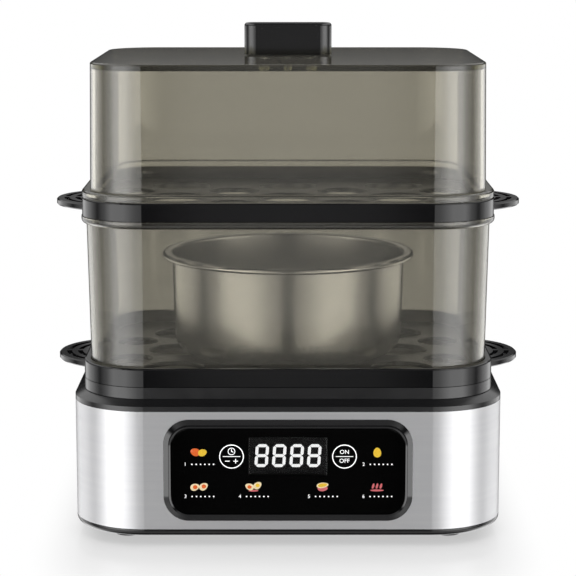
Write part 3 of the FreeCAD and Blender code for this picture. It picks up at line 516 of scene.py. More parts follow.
# Dark smoke that hides the display behind it until its digits are lit.
SMOKE_PANE = ClearPlastic("smoke_acrylic", "#a0a0a0", "#808080", 200.0, "#b8b8b8", "#b8b8b8", ior=1.49)
ZINC_STEEL = PlainMetal("zinc_plated_steel", "#b9bcbf", 0.32)
ALUMINIUM = PlainMetal("rolled_aluminium", "#cfd0d1", 0.38, 4 * MM)
NICKEL_ALLOY = PlainMetal("nickel_alloy_tube", "#8d8a86", 0.42, 3 * MM)
TINNED_BRASS = PlainMetal("tinned_brass", "#c3bda9", 0.3)
PROBE_STEEL = PlainMetal("probe_304_steel", "#b3b3b2", 0.25)
FOOT_RUBBER = Rubber("foot_rubber", "#1a1a1a")
SEAL_SILICONE = Rubber("seal_silicone", "#6f6c66", 0.5)
KNOB_SILICONE = Rubber("knob_silicone", "#161616", 0.5)
BAKELITE = MouldedPlastic("phenolic_resin", "#2a1d15", 0.4)
CERAMIC = MouldedPlastic("glazed_ceramic", "#e3ddcf", 0.25, ior=1.5)
LIGHT_WHITE = MouldedPlastic("white_polycarbonate", "#d8d8d4", 0.35, ior=1.58)
MODULE_GREY = MouldedPlastic("display_epoxy", "#101112", 0.4)
RELAY_BLUE = MouldedPlastic("blue_pbt", "#2a5d9c", 0.35)
TAPE_YELLOW = MouldedPlastic("yellow_polyester_tape", "#c9a227", 0.3)
CAN_BLACK = MouldedPlastic("black_shrink_sleeve", "#222222", 0.3)
BOARD_GREEN = CircuitBoard("solder_mask_board")
DIGIT_WHITE = PanelPrint("lit_white_digit", "#ffffff", 4.0)
# White print on the lens, with a painted glow: its emission stands in for light.
PRINT_WHITE = PanelPrint("white_panel_ink", "#f2f2f2", 0.75)


class IconInk(Enum):
    """The inks of the programme icons."""

    # Each ink's last number is a painted glow: the icons lie on the opaque lens, and no lamp lights them.
    SHELL = PanelPrint("shell_ink", "#e2cfa6", 0.28)
    YOLK = PanelPrint("yolk_ink", "#d8622a", 0.28)
    GOLD = PanelPrint("gold_ink", "#dfb838", 0.28)
    ROSE = PanelPrint("rose_ink", "#c7666a", 0.25)


# Shapes


def finished(name: str, mesh: bpy.types.Mesh, finish: Finish, body: str,
             sharp_above: float = 32.0) -> bpy.types.Object:
    """Turns a mesh into a piece of the model.

    Args:
        name: the piece's name.
        mesh: its mesh, in the frame of the model.
        finish: what it wears.
        body: the body that it moves with.
        sharp_above: edges that turn by more degrees than this stay sharp.

    Returns:
        The piece.
    """
    work = bmesh.new()
    work.from_mesh(mesh)
    bmesh.ops.remove_doubles(work, verts=work.verts, dist=MERGE_DISTANCE)
    bmesh.ops.dissolve_degenerate(work, edges=work.edges, dist=MERGE_DISTANCE)
    bmesh.ops.recalc_face_normals(work, faces=work.faces)
    work.to_mesh(mesh)
    work.free()
    mesh.polygons.foreach_set("use_smooth", np.ones(len(mesh.polygons), dtype=bool))
    mesh.set_sharp_from_angle(angle=math.radians(sharp_above))
    mesh.materials.append(finish.material())
    piece = bpy.data.objects.new(name, mesh)
    bpy.context.scene.collection.objects.link(piece)
    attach(piece, body)
    log.info("%s: %d faces on %s", name, len(mesh.polygons), body)
    return piece


def grid_quads(rows: int, columns: int, wrap_rows: bool, wrap_columns: bool) -> np.ndarray:
    """Numbers the corners of the quads of a grid, as whole arrays.

    Args:
        rows: how many rows of points the grid has.
        columns: how many points a row has.
        wrap_rows: whether the last row joins the first.
        wrap_columns: whether the last point of a row joins its first.

    Returns:
        One row of four point numbers for each quad.
    """
    row = np.arange(rows if wrap_rows else rows - 1)[:, None]
    column = np.arange(columns if wrap_columns else columns - 1)[None, :]
    next_row = (row + 1) % rows
    next_column = (column + 1) % columns
    corners = (row * columns + column, row * columns + next_column,
               next_row * columns + next_column, next_row * columns + column)
    shape = (row.size, column.size)
    return np.stack([np.broadcast_to(corner, shape) for corner in corners], -1).reshape(-1, 4)


def grid_mesh(name: str, points: np.ndarray, wrap_rows: bool = False,
              wrap_columns: bool = True) -> bpy.types.Mesh:
    """Makes a mesh of a grid of points, which are one function of two parameters.

    Args:
        name: the mesh's name.
        points: the points, as rows by columns by 3.
        wrap_rows: whether the last row joins the first.
        wrap_columns: whether the last point of a row joins its first.

    Returns:
        The mesh.
    """
    rows, columns, _ = points.shape
    mesh = bpy.data.meshes.new(name)
    mesh.from_pydata(points.reshape(-1, 3), [], grid_quads(rows, columns, wrap_rows, wrap_columns))
    return mesh


def rounded_loop(half_across: float, half_up: float, radius: float, arc_steps: int = 12) -> np.ndarray:
    """Works out a rectangle with round corners, anticlockwise from the right-hand side.

    Each corner is a quarter circle about a middle that is the radius in from both sides. Loops with
    the same number of steps match point for point, so that one can be joined to another.

    Args:
        half_across: half the width.
        half_up: half the height.
        radius: the radius of the corners.
        arc_steps: how many parts a corner has.

    Returns:
        The points as pairs of across and up.
    """
    corner = np.repeat(np.arange(4), arc_steps + 1)
    angle = corner * math.pi / 2 + np.tile(np.linspace(0, math.pi / 2, arc_steps + 1), 4)
    side_across = np.array([1, -1, -1, 1])[corner]
    side_up = np.array([1, 1, -1, -1])[corner]
    across = side_across * (half_across - radius) + radius * np.cos(angle)
    up = side_up * (half_up - radius) + radius * np.sin(angle)
    return np.stack([across, up], -1)


def arc(middle: tuple[float, float], radius: float, start: float, end: float, steps: int) -> np.ndarray:
    """Works out points on a circle, as middle plus radius times cosine and sine.

    Args:
        middle: the middle of the circle, as distance from the axis and height.
        radius: its radius.
        start: the angle of the first point in degrees.
        end: the angle of the last point in degrees.
        steps: how many parts the arc has.

    Returns:
        The points as pairs.
    """
    angle = np.radians(np.linspace(start, end, steps + 1))
    return np.array(middle) + radius * np.stack([np.cos(angle), np.sin(angle)], -1)


def lathe(profile: np.ndarray, steps: int) -> np.ndarray:
    """Turns a profile about the Z axis: each point's distance times cosine and sine of the turn.

    Args:
        profile: pairs of distance from the axis and height.
        steps: how many parts the turn has.

    Returns:
        A grid of points, one row for each point of the profile.
    """
    angle = np.arange(steps) * 2 * math.pi / steps
    distance, height = profile[:, 0, None], profile[:, 1, None]
    return np.stack(np.broadcast_arrays(distance * np.cos(angle), distance * np.sin(angle), height), -1)


@dataclass(frozen=True)
class Face:
    """An upright plane that faces -Y, on which the marks of the panel lie.

    Attributes:
        y: the depth of the plane.
    """

    y: float

    def points(self, outline: np.ndarray, out: float | np.ndarray) -> np.ndarray:
        """Places outline points: across is X, up is Z, and out of the plane is -Y.

        Args:
            outline: pairs of across and up.
            out: how far out of the plane they lie.

        Returns:
            The points, with a last axis of 3.
        """
        depth = np.broadcast_to(self.y - np.asarray(out), outline.shape[:-1])
        return np.stack([outline[..., 0], depth, outline[..., 1]], -1)


def copies(name: str, points: np.ndarray, quads: np.ndarray) -> bpy.types.Mesh:
    """Makes one mesh of shapes that all have the same quads.

    Args:
        name: the mesh's name.
        points: the points, with the shapes as the first axis and a last axis of 3.
        quads: the point numbers of the first shape's quads.

    Returns:
        The mesh.
    """
    numbers = quads[None] + np.arange(len(points))[:, None, None] * (points[0].size // 3)
    mesh = bpy.data.meshes.new(name)
    mesh.from_pydata(points.reshape(-1, 3), [], numbers.reshape(-1, 4))
    return mesh


def plaques(name: str, face: Face, outlines: np.ndarray, low: float, high: float) -> bpy.types.Mesh:
    """Makes flat plates that each have an outline seen whole from its own middle.

    Each plate is a grid of five rows: the middle at the front, the outline at the front drawn in a
    little, the outline, the outline at the back, and the middle at the back.

    Args:
        name: the mesh's name.
        face: the plane that they lie on.
        outlines: plates by points by 2.
        low: how far out of the plane the backs lie.
        high: how far out the fronts lie.

    Returns:
        One mesh with all the plates.
    """
    drawn_in, eased = 0.96, 0.3
    middle = outlines.mean(axis=1, keepdims=True)
    inner = middle + (outlines - middle) * drawn_in
    centre = np.broadcast_to(middle, outlines.shape)
    edge_height = high - eased * (high - low)
    rows = [face.points(centre, high), face.points(inner, high), face.points(outlines, edge_height),
            face.points(outlines, low), face.points(centre, low)]
    return copies(name, np.stack(rows, 1), grid_quads(len(rows), outlines.shape[1], False, True))


def ovals(sizes: np.ndarray, point: float = 0.0, steps: int = 40) -> np.ndarray:
    """Works out ovals, which can be egg-shaped and tilted.

    Across is half the length times cosine, and up is half the width times sine, less a share of
    itself that grows towards one end. Both are then turned by the tilt.

    Args:
        sizes: one row for each oval, of its middle across and up, half its length and width, and
            its tilt in degrees.
        point: how much narrower than the middle the far end is.
        steps: how many points an oval has.

    Returns:
        The outlines, as ovals by points by 2.
    """
    x, z, half_length, half_width, tilt = (sizes[:, place, None] for place in range(5))
    angle = np.arange(steps) * 2 * math.pi / steps
    along = half_length * np.cos(angle)
    aside = half_width * np.sin(angle) * (1 - point * np.cos(angle))
    turn = np.radians(tilt)
    across = x + along * np.cos(turn) - aside * np.sin(turn)
    up = z + along * np.sin(turn) + aside * np.cos(turn)
    return np.stack([across, up], -1)


def bars(ends: np.ndarray, width: float, cap_steps: int = 6) -> np.ndarray:
    """Works out straight strokes with round ends, one half circle about each end.

    Args:
        ends: one row for each stroke, of its first end across and up and its second end.
        width: the width of the strokes.
        cap_steps: how many parts a round end has.

    Returns:
        The outlines, as strokes by points by 2.
    """
    first, second = ends[:, None, :2], ends[:, None, 2:]
    run = second - first
    heading = np.arctan2(run[..., 1], run[..., 0])
    turn = np.linspace(-math.pi / 2, math.pi / 2, cap_steps + 1)
    cap = np.stack([np.cos(heading + turn), np.sin(heading + turn)], -1) * width / 2
    return np.concatenate([second + cap, first - cap], axis=1)


def rings(name: str, face: Face, sizes: np.ndarray, width: float, low: float, high: float,
          start: float = 0.0, sweep: float = 360.0) -> bpy.types.Mesh:
    """Makes flat rings or parts of rings: a rectangular profile carried round a circle.

    Args:
        name: the mesh's name.
        face: the plane that they lie on.
        sizes: one row for each ring, of its middle across and up and the radius of its line.
        width: the width of the line.
        low: how far out of the plane the backs lie.
        high: how far out the fronts lie.
        start: the angle at which the line starts, in degrees.
        sweep: how far round it goes.

    Returns:
        One mesh with all the rings.
    """
    whole = sweep >= 360.0
    steps = 64
    angle = np.radians(start + np.linspace(0, sweep, steps + (0 if whole else 1), endpoint=not whole))
    profile = np.array([[-0.5, low], [-0.5, high], [0.5, high], [0.5, low]])
    radius = sizes[:, 2, None, None] + profile[None, :, 0, None] * width
    across = sizes[:, 0, None, None] + radius * np.cos(angle)
    up = sizes[:, 1, None, None] + radius * np.sin(angle)
    outline = np.stack([across, up], -1)
    points = face.points(outline, np.broadcast_to(profile[None, :, 1, None], across.shape))
    mesh = copies(name, points, grid_quads(len(profile), angle.size, True, whole))
    if not whole:
        close_ends(mesh)
    return mesh


def close_ends(mesh: bpy.types.Mesh) -> None:
    """Fills the open ends of a mesh's tubes."""
    work = bmesh.new()
    work.from_mesh(mesh)
    bmesh.ops.holes_fill(work, edges=work.edges, sides=0)
    work.to_mesh(mesh)
    work.free()


def lettering(name: str, face: Face, words: tuple[tuple[str, float, float, float], ...], low: float,
              high: float) -> bpy.types.Mesh:
    """Makes raised numbers and plain switch words.

    Args:
        name: the mesh's name.
        face: the plane that they lie on.
        words: for each, its text, the middle across and up, and the height of its letters.
        low: how far out of the plane the backs lie.
        high: how far out the fronts lie.

    Returns:
        One mesh with all the words.
    """
    meshes = []
    upright = Matrix.Rotation(math.pi / 2, 4, "X")
    for text, x, z, height in words:
        line = bpy.data.curves.new(name, "FONT")
        line.body = text
        line.align_x = "CENTER"
        line.align_y = "CENTER"
        line.size = height * FONT_SIZE_PER_HEIGHT
        line.extrude = (high - low) / 2
        line.resolution_u = 3
        holder = bpy.data.objects.new(name, line)
        mesh = bpy.data.meshes.new_from_object(holder)
        mesh.transform(Matrix.Translation((x, face.y - (high + low) / 2, z)) @ upright)
        meshes.append(mesh)
        bpy.data.objects.remove(holder)
        bpy.data.curves.remove(line)
    return joined(name, meshes)


def joined(name: str, meshes: list[bpy.types.Mesh]) -> bpy.types.Mesh:
    """Puts several meshes into one and lets go of them."""
    work = bmesh.new()
    for mesh in meshes:
        work.from_mesh(mesh)
        bpy.data.meshes.remove(mesh)
    made = bpy.data.meshes.new(name)
    work.to_mesh(made)
    work.free()
    return made


# Sub-assemblies


def dress(finish: Finish, *nodes: str) -> None:
    """Gives nodes of the frame one finish on every material slot.

    Args:
        finish: what they wear.
        nodes: the nodes' names.
    """
    for node in nodes:
        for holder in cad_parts[node].material_slots:
            holder.material = finish.material()
        log.info("%s wears %s", node, finish.name)


@dataclass(frozen=True)
class Base:
    """The base: a brushed sleeve between a black top and a black bottom, on four feet."""

    body: str = "base"

    def build(self) -> None:
        """Dresses the outside, the dish, the heater and the electronics."""
        dress(SLEEVE_STEEL, "base_sleeve")
        dress(SATIN_BLACK, "top_shell")
        dress(COVER_BLACK, "bottom_cover")
        dress(MATT_BLACK, "rear_plate", "cord_gland", "gland_nut", "buzzer")
        dress(FOOT_RUBBER, "foot_front_left", "foot_front_right", "foot_rear_left", "foot_rear_right")
        self.dress_heater()
        self.dress_electronics()

    def dress_heater(self) -> None:
        """Dresses the dish and what heats and watches it."""
        dress(DISH_STEEL, "heating_dish")
        dress(SEAL_SILICONE, "dish_seal")
        dress(ALUMINIUM, "heat_spreader")
        dress(NICKEL_ALLOY, "heating_element")
        dress(TINNED_BRASS, "element_terminals")
        dress(BAKELITE, "thermostat")
        dress(CERAMIC, "thermal_fuse")
        dress(ZINC_STEEL, "fuse_clip", "dish_brackets", "dish_screws", "base_screws")
        dress(PROBE_STEEL, "temperature_sensor")

    def dress_electronics(self) -> None:
        """Dresses the boards and what stands on them."""
        dress(BOARD_GREEN, "power_board", "display_board")
        dress(ZINC_STEEL, "power_board_screws", "display_board_screws")
        dress(RELAY_BLUE, "power_relay")
        dress(TAPE_YELLOW, "power_transformer")
        dress(CAN_BLACK, "smoothing_capacitor", "filter_capacitor")
        dress(CERAMIC, "terminal_block")


@dataclass(frozen=True)
class ControlPanel:
    """The panel: a sloped bezel round a black acrylic lens, with a lit display and two touch keys."""

    body: str = "base"
    middle: float = 38.0 * MM
    front: float = -88.4 * MM
    back: float = -86.4 * MM
    half_length: float = 56.8 * MM
    half_height: float = 21.3 * MM
    corner: float = 9.0 * MM
    edge: float = 0.25 * MM
    window_middle: float = 45.6 * MM
    window_half_length: float = 19.3 * MM
    window_half_height: float = 9.6 * MM
    window_corner: float = 0.4 * MM
    window_gap: float = 0.02 * MM
    digit_pitch: float = 8.5 * MM
    digit_length: float = 6.5 * MM
    digit_height: float = 11.4 * MM
    digit_lean: float = 0.07
    stroke: float = 1.45 * MM
    stroke_gap: float = 0.12 * MM
    key_place: float = 27.4 * MM
    key_radius: float = 5.75 * MM
    key_line: float = 0.45 * MM
    rule_share: float = 0.72
    rule_line: float = 0.3 * MM
    sign_line: float = 0.38 * MM
    clock_line: float = 0.32 * MM
    word_rise: float = 2.2 * MM
    word_height: float = 2.0 * MM
    number_height: float = 1.7 * MM
    number_place: float = 6.6 * MM
    dot_pitch: float = 2.1 * MM
    dot_radius: float = 0.36 * MM
    icon_scale: float = 0.9
    print_sunk: float = -0.02 * MM
    print_out: float = 0.06 * MM
    top_icons: float = 47.6 * MM
    low_icons: float = 30.3 * MM
    top_labels: float = 41.7 * MM
    low_labels: float = 25.6 * MM
    outer_column: float = 43.3 * MM
    inner_column: float = 16.8 * MM

    @property
    def face(self) -> Face:
        """The front of the lens."""
        return Face(self.front)

    def build(self) -> None:
        """Builds the lens, the window, the digits and the print."""
        dress(GLOSS_BLACK, "panel_bezel")
        dress(LIGHT_WHITE, "light_box")
        dress(MODULE_GREY, "display_module")
        dress(PROBE_STEEL, "touch_springs")
        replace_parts(self.lens(), "panel_lens")
        self.window()
        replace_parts(self.digits(), "digit_segments")
        self.marks()
        self.icons()

    def lens(self) -> bpy.types.Object:
        """Makes the black lens as a ring: matching loops joined from its outer to its inner side.

        The loops go over the eased front edge, down the outside, across the back and up round the
        hole for the window.
        """
        outer = rounded_loop(self.half_length, self.half_height, self.corner)
        eased = rounded_loop(self.half_length - self.edge, self.half_height - self.edge,
                             self.corner - self.edge)
        hole = rounded_loop(self.window_half_length, self.window_half_height, self.window_corner)
        outer, eased = outer + (0, self.middle), eased + (0, self.middle)
        hole = hole + (0, self.window_middle)
        thickness = self.back - self.front
        rows = ((eased, 0.0), (outer, -self.edge), (outer, -thickness), (hole, -thickness), (hole, 0.0))
        points = np.stack([self.face.points(loop, out) for loop, out in rows])
        mesh = grid_mesh("lens_field", points, wrap_rows=True)
        return finished("lens_field", mesh, LENS_BLACK, self.body, PLATE_SHARP)

    def window(self) -> None:
        """Makes the smoke pane that fills the hole in the lens, a plate with four rows."""
        gap = self.window_gap
        loop = rounded_loop(self.window_half_length - gap, self.window_half_height - gap,
                            self.window_corner) + (0, self.window_middle)
        low = self.front - self.back
        mesh = plaques("display_window", self.face, loop[None], low, -gap)
        finished("display_window", mesh, SMOKE_PANE, self.body, PLATE_SHARP)

    def digits(self) -> bpy.types.Object:
        """Makes four leaning digits of seven six-sided strokes, lit behind the pane.

        A stroke is a bar whose ends come to a point at 45 degrees. The points lean by their height
        above the middle times the lean.
        """
        half = self.stroke / 2
        reach = np.array([-1, 1]) * (self.digit_length - self.stroke) / 2
        rise = np.array([-1, 0, 1]) * (self.digit_height - self.stroke) / 2
        flat = (self.digit_length - self.stroke) / 2 - self.stroke_gap
        tall = (self.digit_height - self.stroke) / 4 - self.stroke_gap
        shape = np.array([[-1, 0], [-1, 1], [1, 1], [1, 0], [1, -1], [-1, -1]])
        taper = np.array([0, 1, 1, 0, 1, 1])
        level = np.stack([shape[:, 0] * (flat - half * taper), shape[:, 1] * half], -1)
        upright = np.stack([shape[:, 1] * half, shape[:, 0] * (tall - half * taper)], -1)
        levels = level[None] + np.stack([np.zeros(3), rise], -1)[:, None]
        sides = np.stack(np.meshgrid(reach, (rise[:-1] + rise[1:]) / 2), -1).reshape(-1, 2)
        strokes = np.concatenate([levels, upright[None] + sides[:, None]])
        strokes[..., 0] += self.digit_lean * strokes[..., 1]
        places = (np.arange(4) - 1.5) * self.digit_pitch
        whole = strokes[None] + np.stack([places, np.full(4, self.window_middle)], -1)[:, None, None]
        face = Face(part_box("display_module")[0].y)
        mesh = plaques("display_digits", face, whole.reshape(-1, 6, 2), 0.0, 0.2 * MM)
        return finished("display_digits", mesh, DIGIT_WHITE, self.body, PLATE_SHARP)

    def marks(self) -> None:
        """Prints the touch keys, their signs, and the numbered scales, in white."""
        low, high = self.print_sunk, self.print_out
        keys = np.array([[-self.key_place, self.window_middle, self.key_radius],
                         [self.key_place, self.window_middle, self.key_radius]])
        parts = [rings("key_rings", self.face, keys, self.key_line, low, high)]
        half = self.key_radius * self.rule_share
        z = self.window_middle
        lines = [[side * self.key_place - half, z, side * self.key_place + half, z] for side in (-1, 1)]
        rules = bars(np.array(lines), self.rule_line)
        parts.append(plaques("key_lines", self.face, rules, low, high))
        clock = np.array([[-self.key_place, z + 2.55 * MM, 1.65 * MM]])
        parts.append(rings("clock_ring", self.face, clock, self.clock_line, low, high))
        x = -self.key_place
        hands = [[x, z + 2.55 * MM, x, z + 3.6 * MM], [x, z + 2.55 * MM, x + 0.75 * MM, z + 2.2 * MM],
                 [x - 3.0 * MM, z - 2.3 * MM, x - 1.0 * MM, z - 2.3 * MM],
                 [x + 1.0 * MM, z - 2.3 * MM, x + 3.0 * MM, z - 2.3 * MM],
                 [x + 2.0 * MM, z - 3.3 * MM, x + 2.0 * MM, z - 1.3 * MM]]
        signs = bars(np.array(hands), self.sign_line)
        parts.append(plaques("key_signs", self.face, signs, low, high))
        words = [("ON", self.key_place, z + self.word_rise, self.word_height),
                 ("OFF", self.key_place, z - self.word_rise, self.word_height)]
        dots = []
        for number, (x, row) in enumerate(self.label_places(), start=1):
            words.append((str(number), x - self.number_place, row, self.number_height))
            dots += [[x + (place - 1.6) * self.dot_pitch, row, self.dot_radius, self.dot_radius, 0]
                     for place in range(6)]
        parts.append(plaques("scale_dots", self.face, ovals(np.array(dots), steps=16), low, high))
        parts.append(lettering("words", self.face, tuple(words), low, high))
        finished("panel_print", joined("panel_print", parts), PRINT_WHITE, self.body,
                 PLATE_SHARP)

    def label_places(self) -> tuple[tuple[float, float], ...]:
        """The middles of the scales: two in the top row, then four in the bottom row."""
        return ((-self.outer_column, self.top_labels), (self.outer_column, self.top_labels),
                (-self.outer_column, self.low_labels), (-self.inner_column, self.low_labels),
                (self.inner_column, self.low_labels), (self.outer_column, self.low_labels))

    def mark(self, column: float, row: float, across: float, up: float, half_length: float,
             half_width: float, tilt: float = 0.0) -> list[float]:
        """Works out one oval of an icon: its place is the icon's middle plus its own, scaled.

        Args:
            column: where the icon's middle lies across.
            row: how high it lies.
            across: how far to the right of it the oval lies, in millimetres before scaling.
            up: how far above it the oval lies, as the two sizes in the same unit.
            half_length: half the oval's length.
            half_width: half its width.
            tilt: its tilt in degrees.

        Returns:
            The row of numbers that an oval is made from.
        """
        mm = self.icon_scale * MM
        return [column + across * mm, row + up * mm, half_length * mm, half_width * mm, tilt]

    def icons(self) -> None:
        """Prints the six programme signs: plain ovals, halves, a cup and rising heat."""
        a, b = self.outer_column, self.inner_column
        top, low = self.top_icons, self.low_icons
        mark = self.mark
        shells = [mark(-a, low, -2.2, 0, 2.5, 1.9, 20), mark(-a, low, 2.5, 0.3, 2.5, 1.9, 35),
                  mark(-b, low, -2.1, 0.2, 2.4, 1.8, 155), mark(-b, low, 2.2, 0.9, 2.4, 1.8, 40)]
        rims = [mark(b, low, 0, 1.0, 3.2, 1.5, 8)]
        yolks = [mark(-a, low, -2.0, 0, 1.25, 1.15), mark(-a, low, 2.7, 0.4, 1.25, 1.15),
                 mark(-b, low, -2.1, 0.1, 1.15, 1.0)]
        orange = [mark(-a, top, -1.9, 0.2, 2.6, 2.1, 160)]
        gold = [mark(-a, top, 2.0, -0.1, 2.4, 1.9, 20), mark(a, top, 0, 0, 2.7, 2.1, 90),
                mark(-b, low, 2.3, 1.0, 1.15, 1.0), mark(b, low, 0, 1.1, 2.5, 1.0, 8)]
        cup = [mark(b, low, 0, -0.6, 2.7, 1.7)]
        heat = [mark(a, low, place * 2.1, 0.6, 1.5, 0.62, 75) for place in (-1, 0, 1)]
        plate = [mark(a, low, 0, -1.8, 3.6, 0.55), mark(-b, low, 0, -2.0, 2.6, 0.5)]
        sunk, out = self.print_sunk, self.print_out
        layers = ((IconInk.SHELL, "shell_print", shells + rims, 0.16, 1.0),
                  (IconInk.YOLK, "yolk_print", yolks + orange, 0.12, 1.4),
                  (IconInk.GOLD, "gold_print", gold, 0.12, 1.8),
                  (IconInk.ROSE, "rose_print", cup + heat + plate, 0.1, 0.7))
        for ink, name, sizes, point, rise in layers:
            mesh = plaques(name, self.face, ovals(np.array(sizes), point), sunk, out * rise)
            finished(name, mesh, ink.value, self.body, PLATE_SHARP)


@dataclass(frozen=True)
class EggTrays:
    """The two egg trays with their carrying loops."""

    def build(self) -> None:
        """Dresses both trays."""
        dress(TRAY_BLACK, "lower_tray", "upper_tray")


@dataclass(frozen=True)
class ClearParts:
    """The clear chamber and the clear lid with its knob."""

    def build(self) -> None:
        """Dresses the chamber, the lid, the knob and what holds it."""
        dress(SMOKE_CLEAR, "chamber", "lid")
        dress(GLOSS_BLACK, "lid_knob")
        dress(KNOB_SILICONE, "knob_seal")
        dress(PROBE_STEEL, "knob_screws")


@dataclass(frozen=True)
class Bowl:
    """The pressed steel bowl with a flat flange that ends in a rolled bead."""

    body: str = "bowl"
    bottom: float = 81.3 * MM
    height: float = 52.5 * MM
    base_radius: float = 59.0 * MM
    top_radius: float = 60.0 * MM
    rim_radius: float = 65.0 * MM
    wall: float = 0.9 * MM
    corner: float = 10.0 * MM
    bead: float = 1.5 * MM
    shoulder: float = 2.0 * MM
    steps: int = 192

    def profile(self) -> np.ndarray:
        """The half section, up the outside, round the bead, over the flange and down the inside."""
        top = self.bottom + self.height
        bead_middle = (self.rim_radius - self.bead, top - self.bead)
        under = 180.0 - math.degrees(math.asin((self.bead - self.wall) / self.bead))
        foot = (self.base_radius - self.corner, self.bottom + self.corner)
        inside = self.top_radius - self.wall
        return np.concatenate([
            [(0.0, self.bottom)],
            arc(foot, self.corner, -90.0, 0.0, 12),
            arc((self.top_radius + 0.8 * MM, top - self.wall - 0.8 * MM), 0.8 * MM, 180.0, 90.0, 5),
            arc(bead_middle, self.bead, under, 450.0, 24),
            arc((inside + self.shoulder, top - self.shoulder), self.shoulder, 90.0, 180.0, 8),
            arc(foot, self.corner - self.wall, 0.0, -90.0, 12),
            [(0.0, self.bottom + self.wall)]])

    def build(self) -> None:
        """Turns the section about the upright axis."""
        mesh = grid_mesh("pressed_bowl", lathe(self.profile(), self.steps))
        piece = finished("pressed_bowl", mesh, BOWL_STEEL, self.body, 40.0)
        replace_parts(piece, "bowl")


# Room


def aimed(place: tuple[float, float, float], target: tuple[float, float, float]) -> Matrix:
    """Returns the placing of a lamp that stands at a place and looks at a target, upright."""
    towards = Vector(target) - Vector(place)
    return Matrix.Translation(place) @ towards.to_track_quat("-Z", "Y").to_matrix().to_4x4()


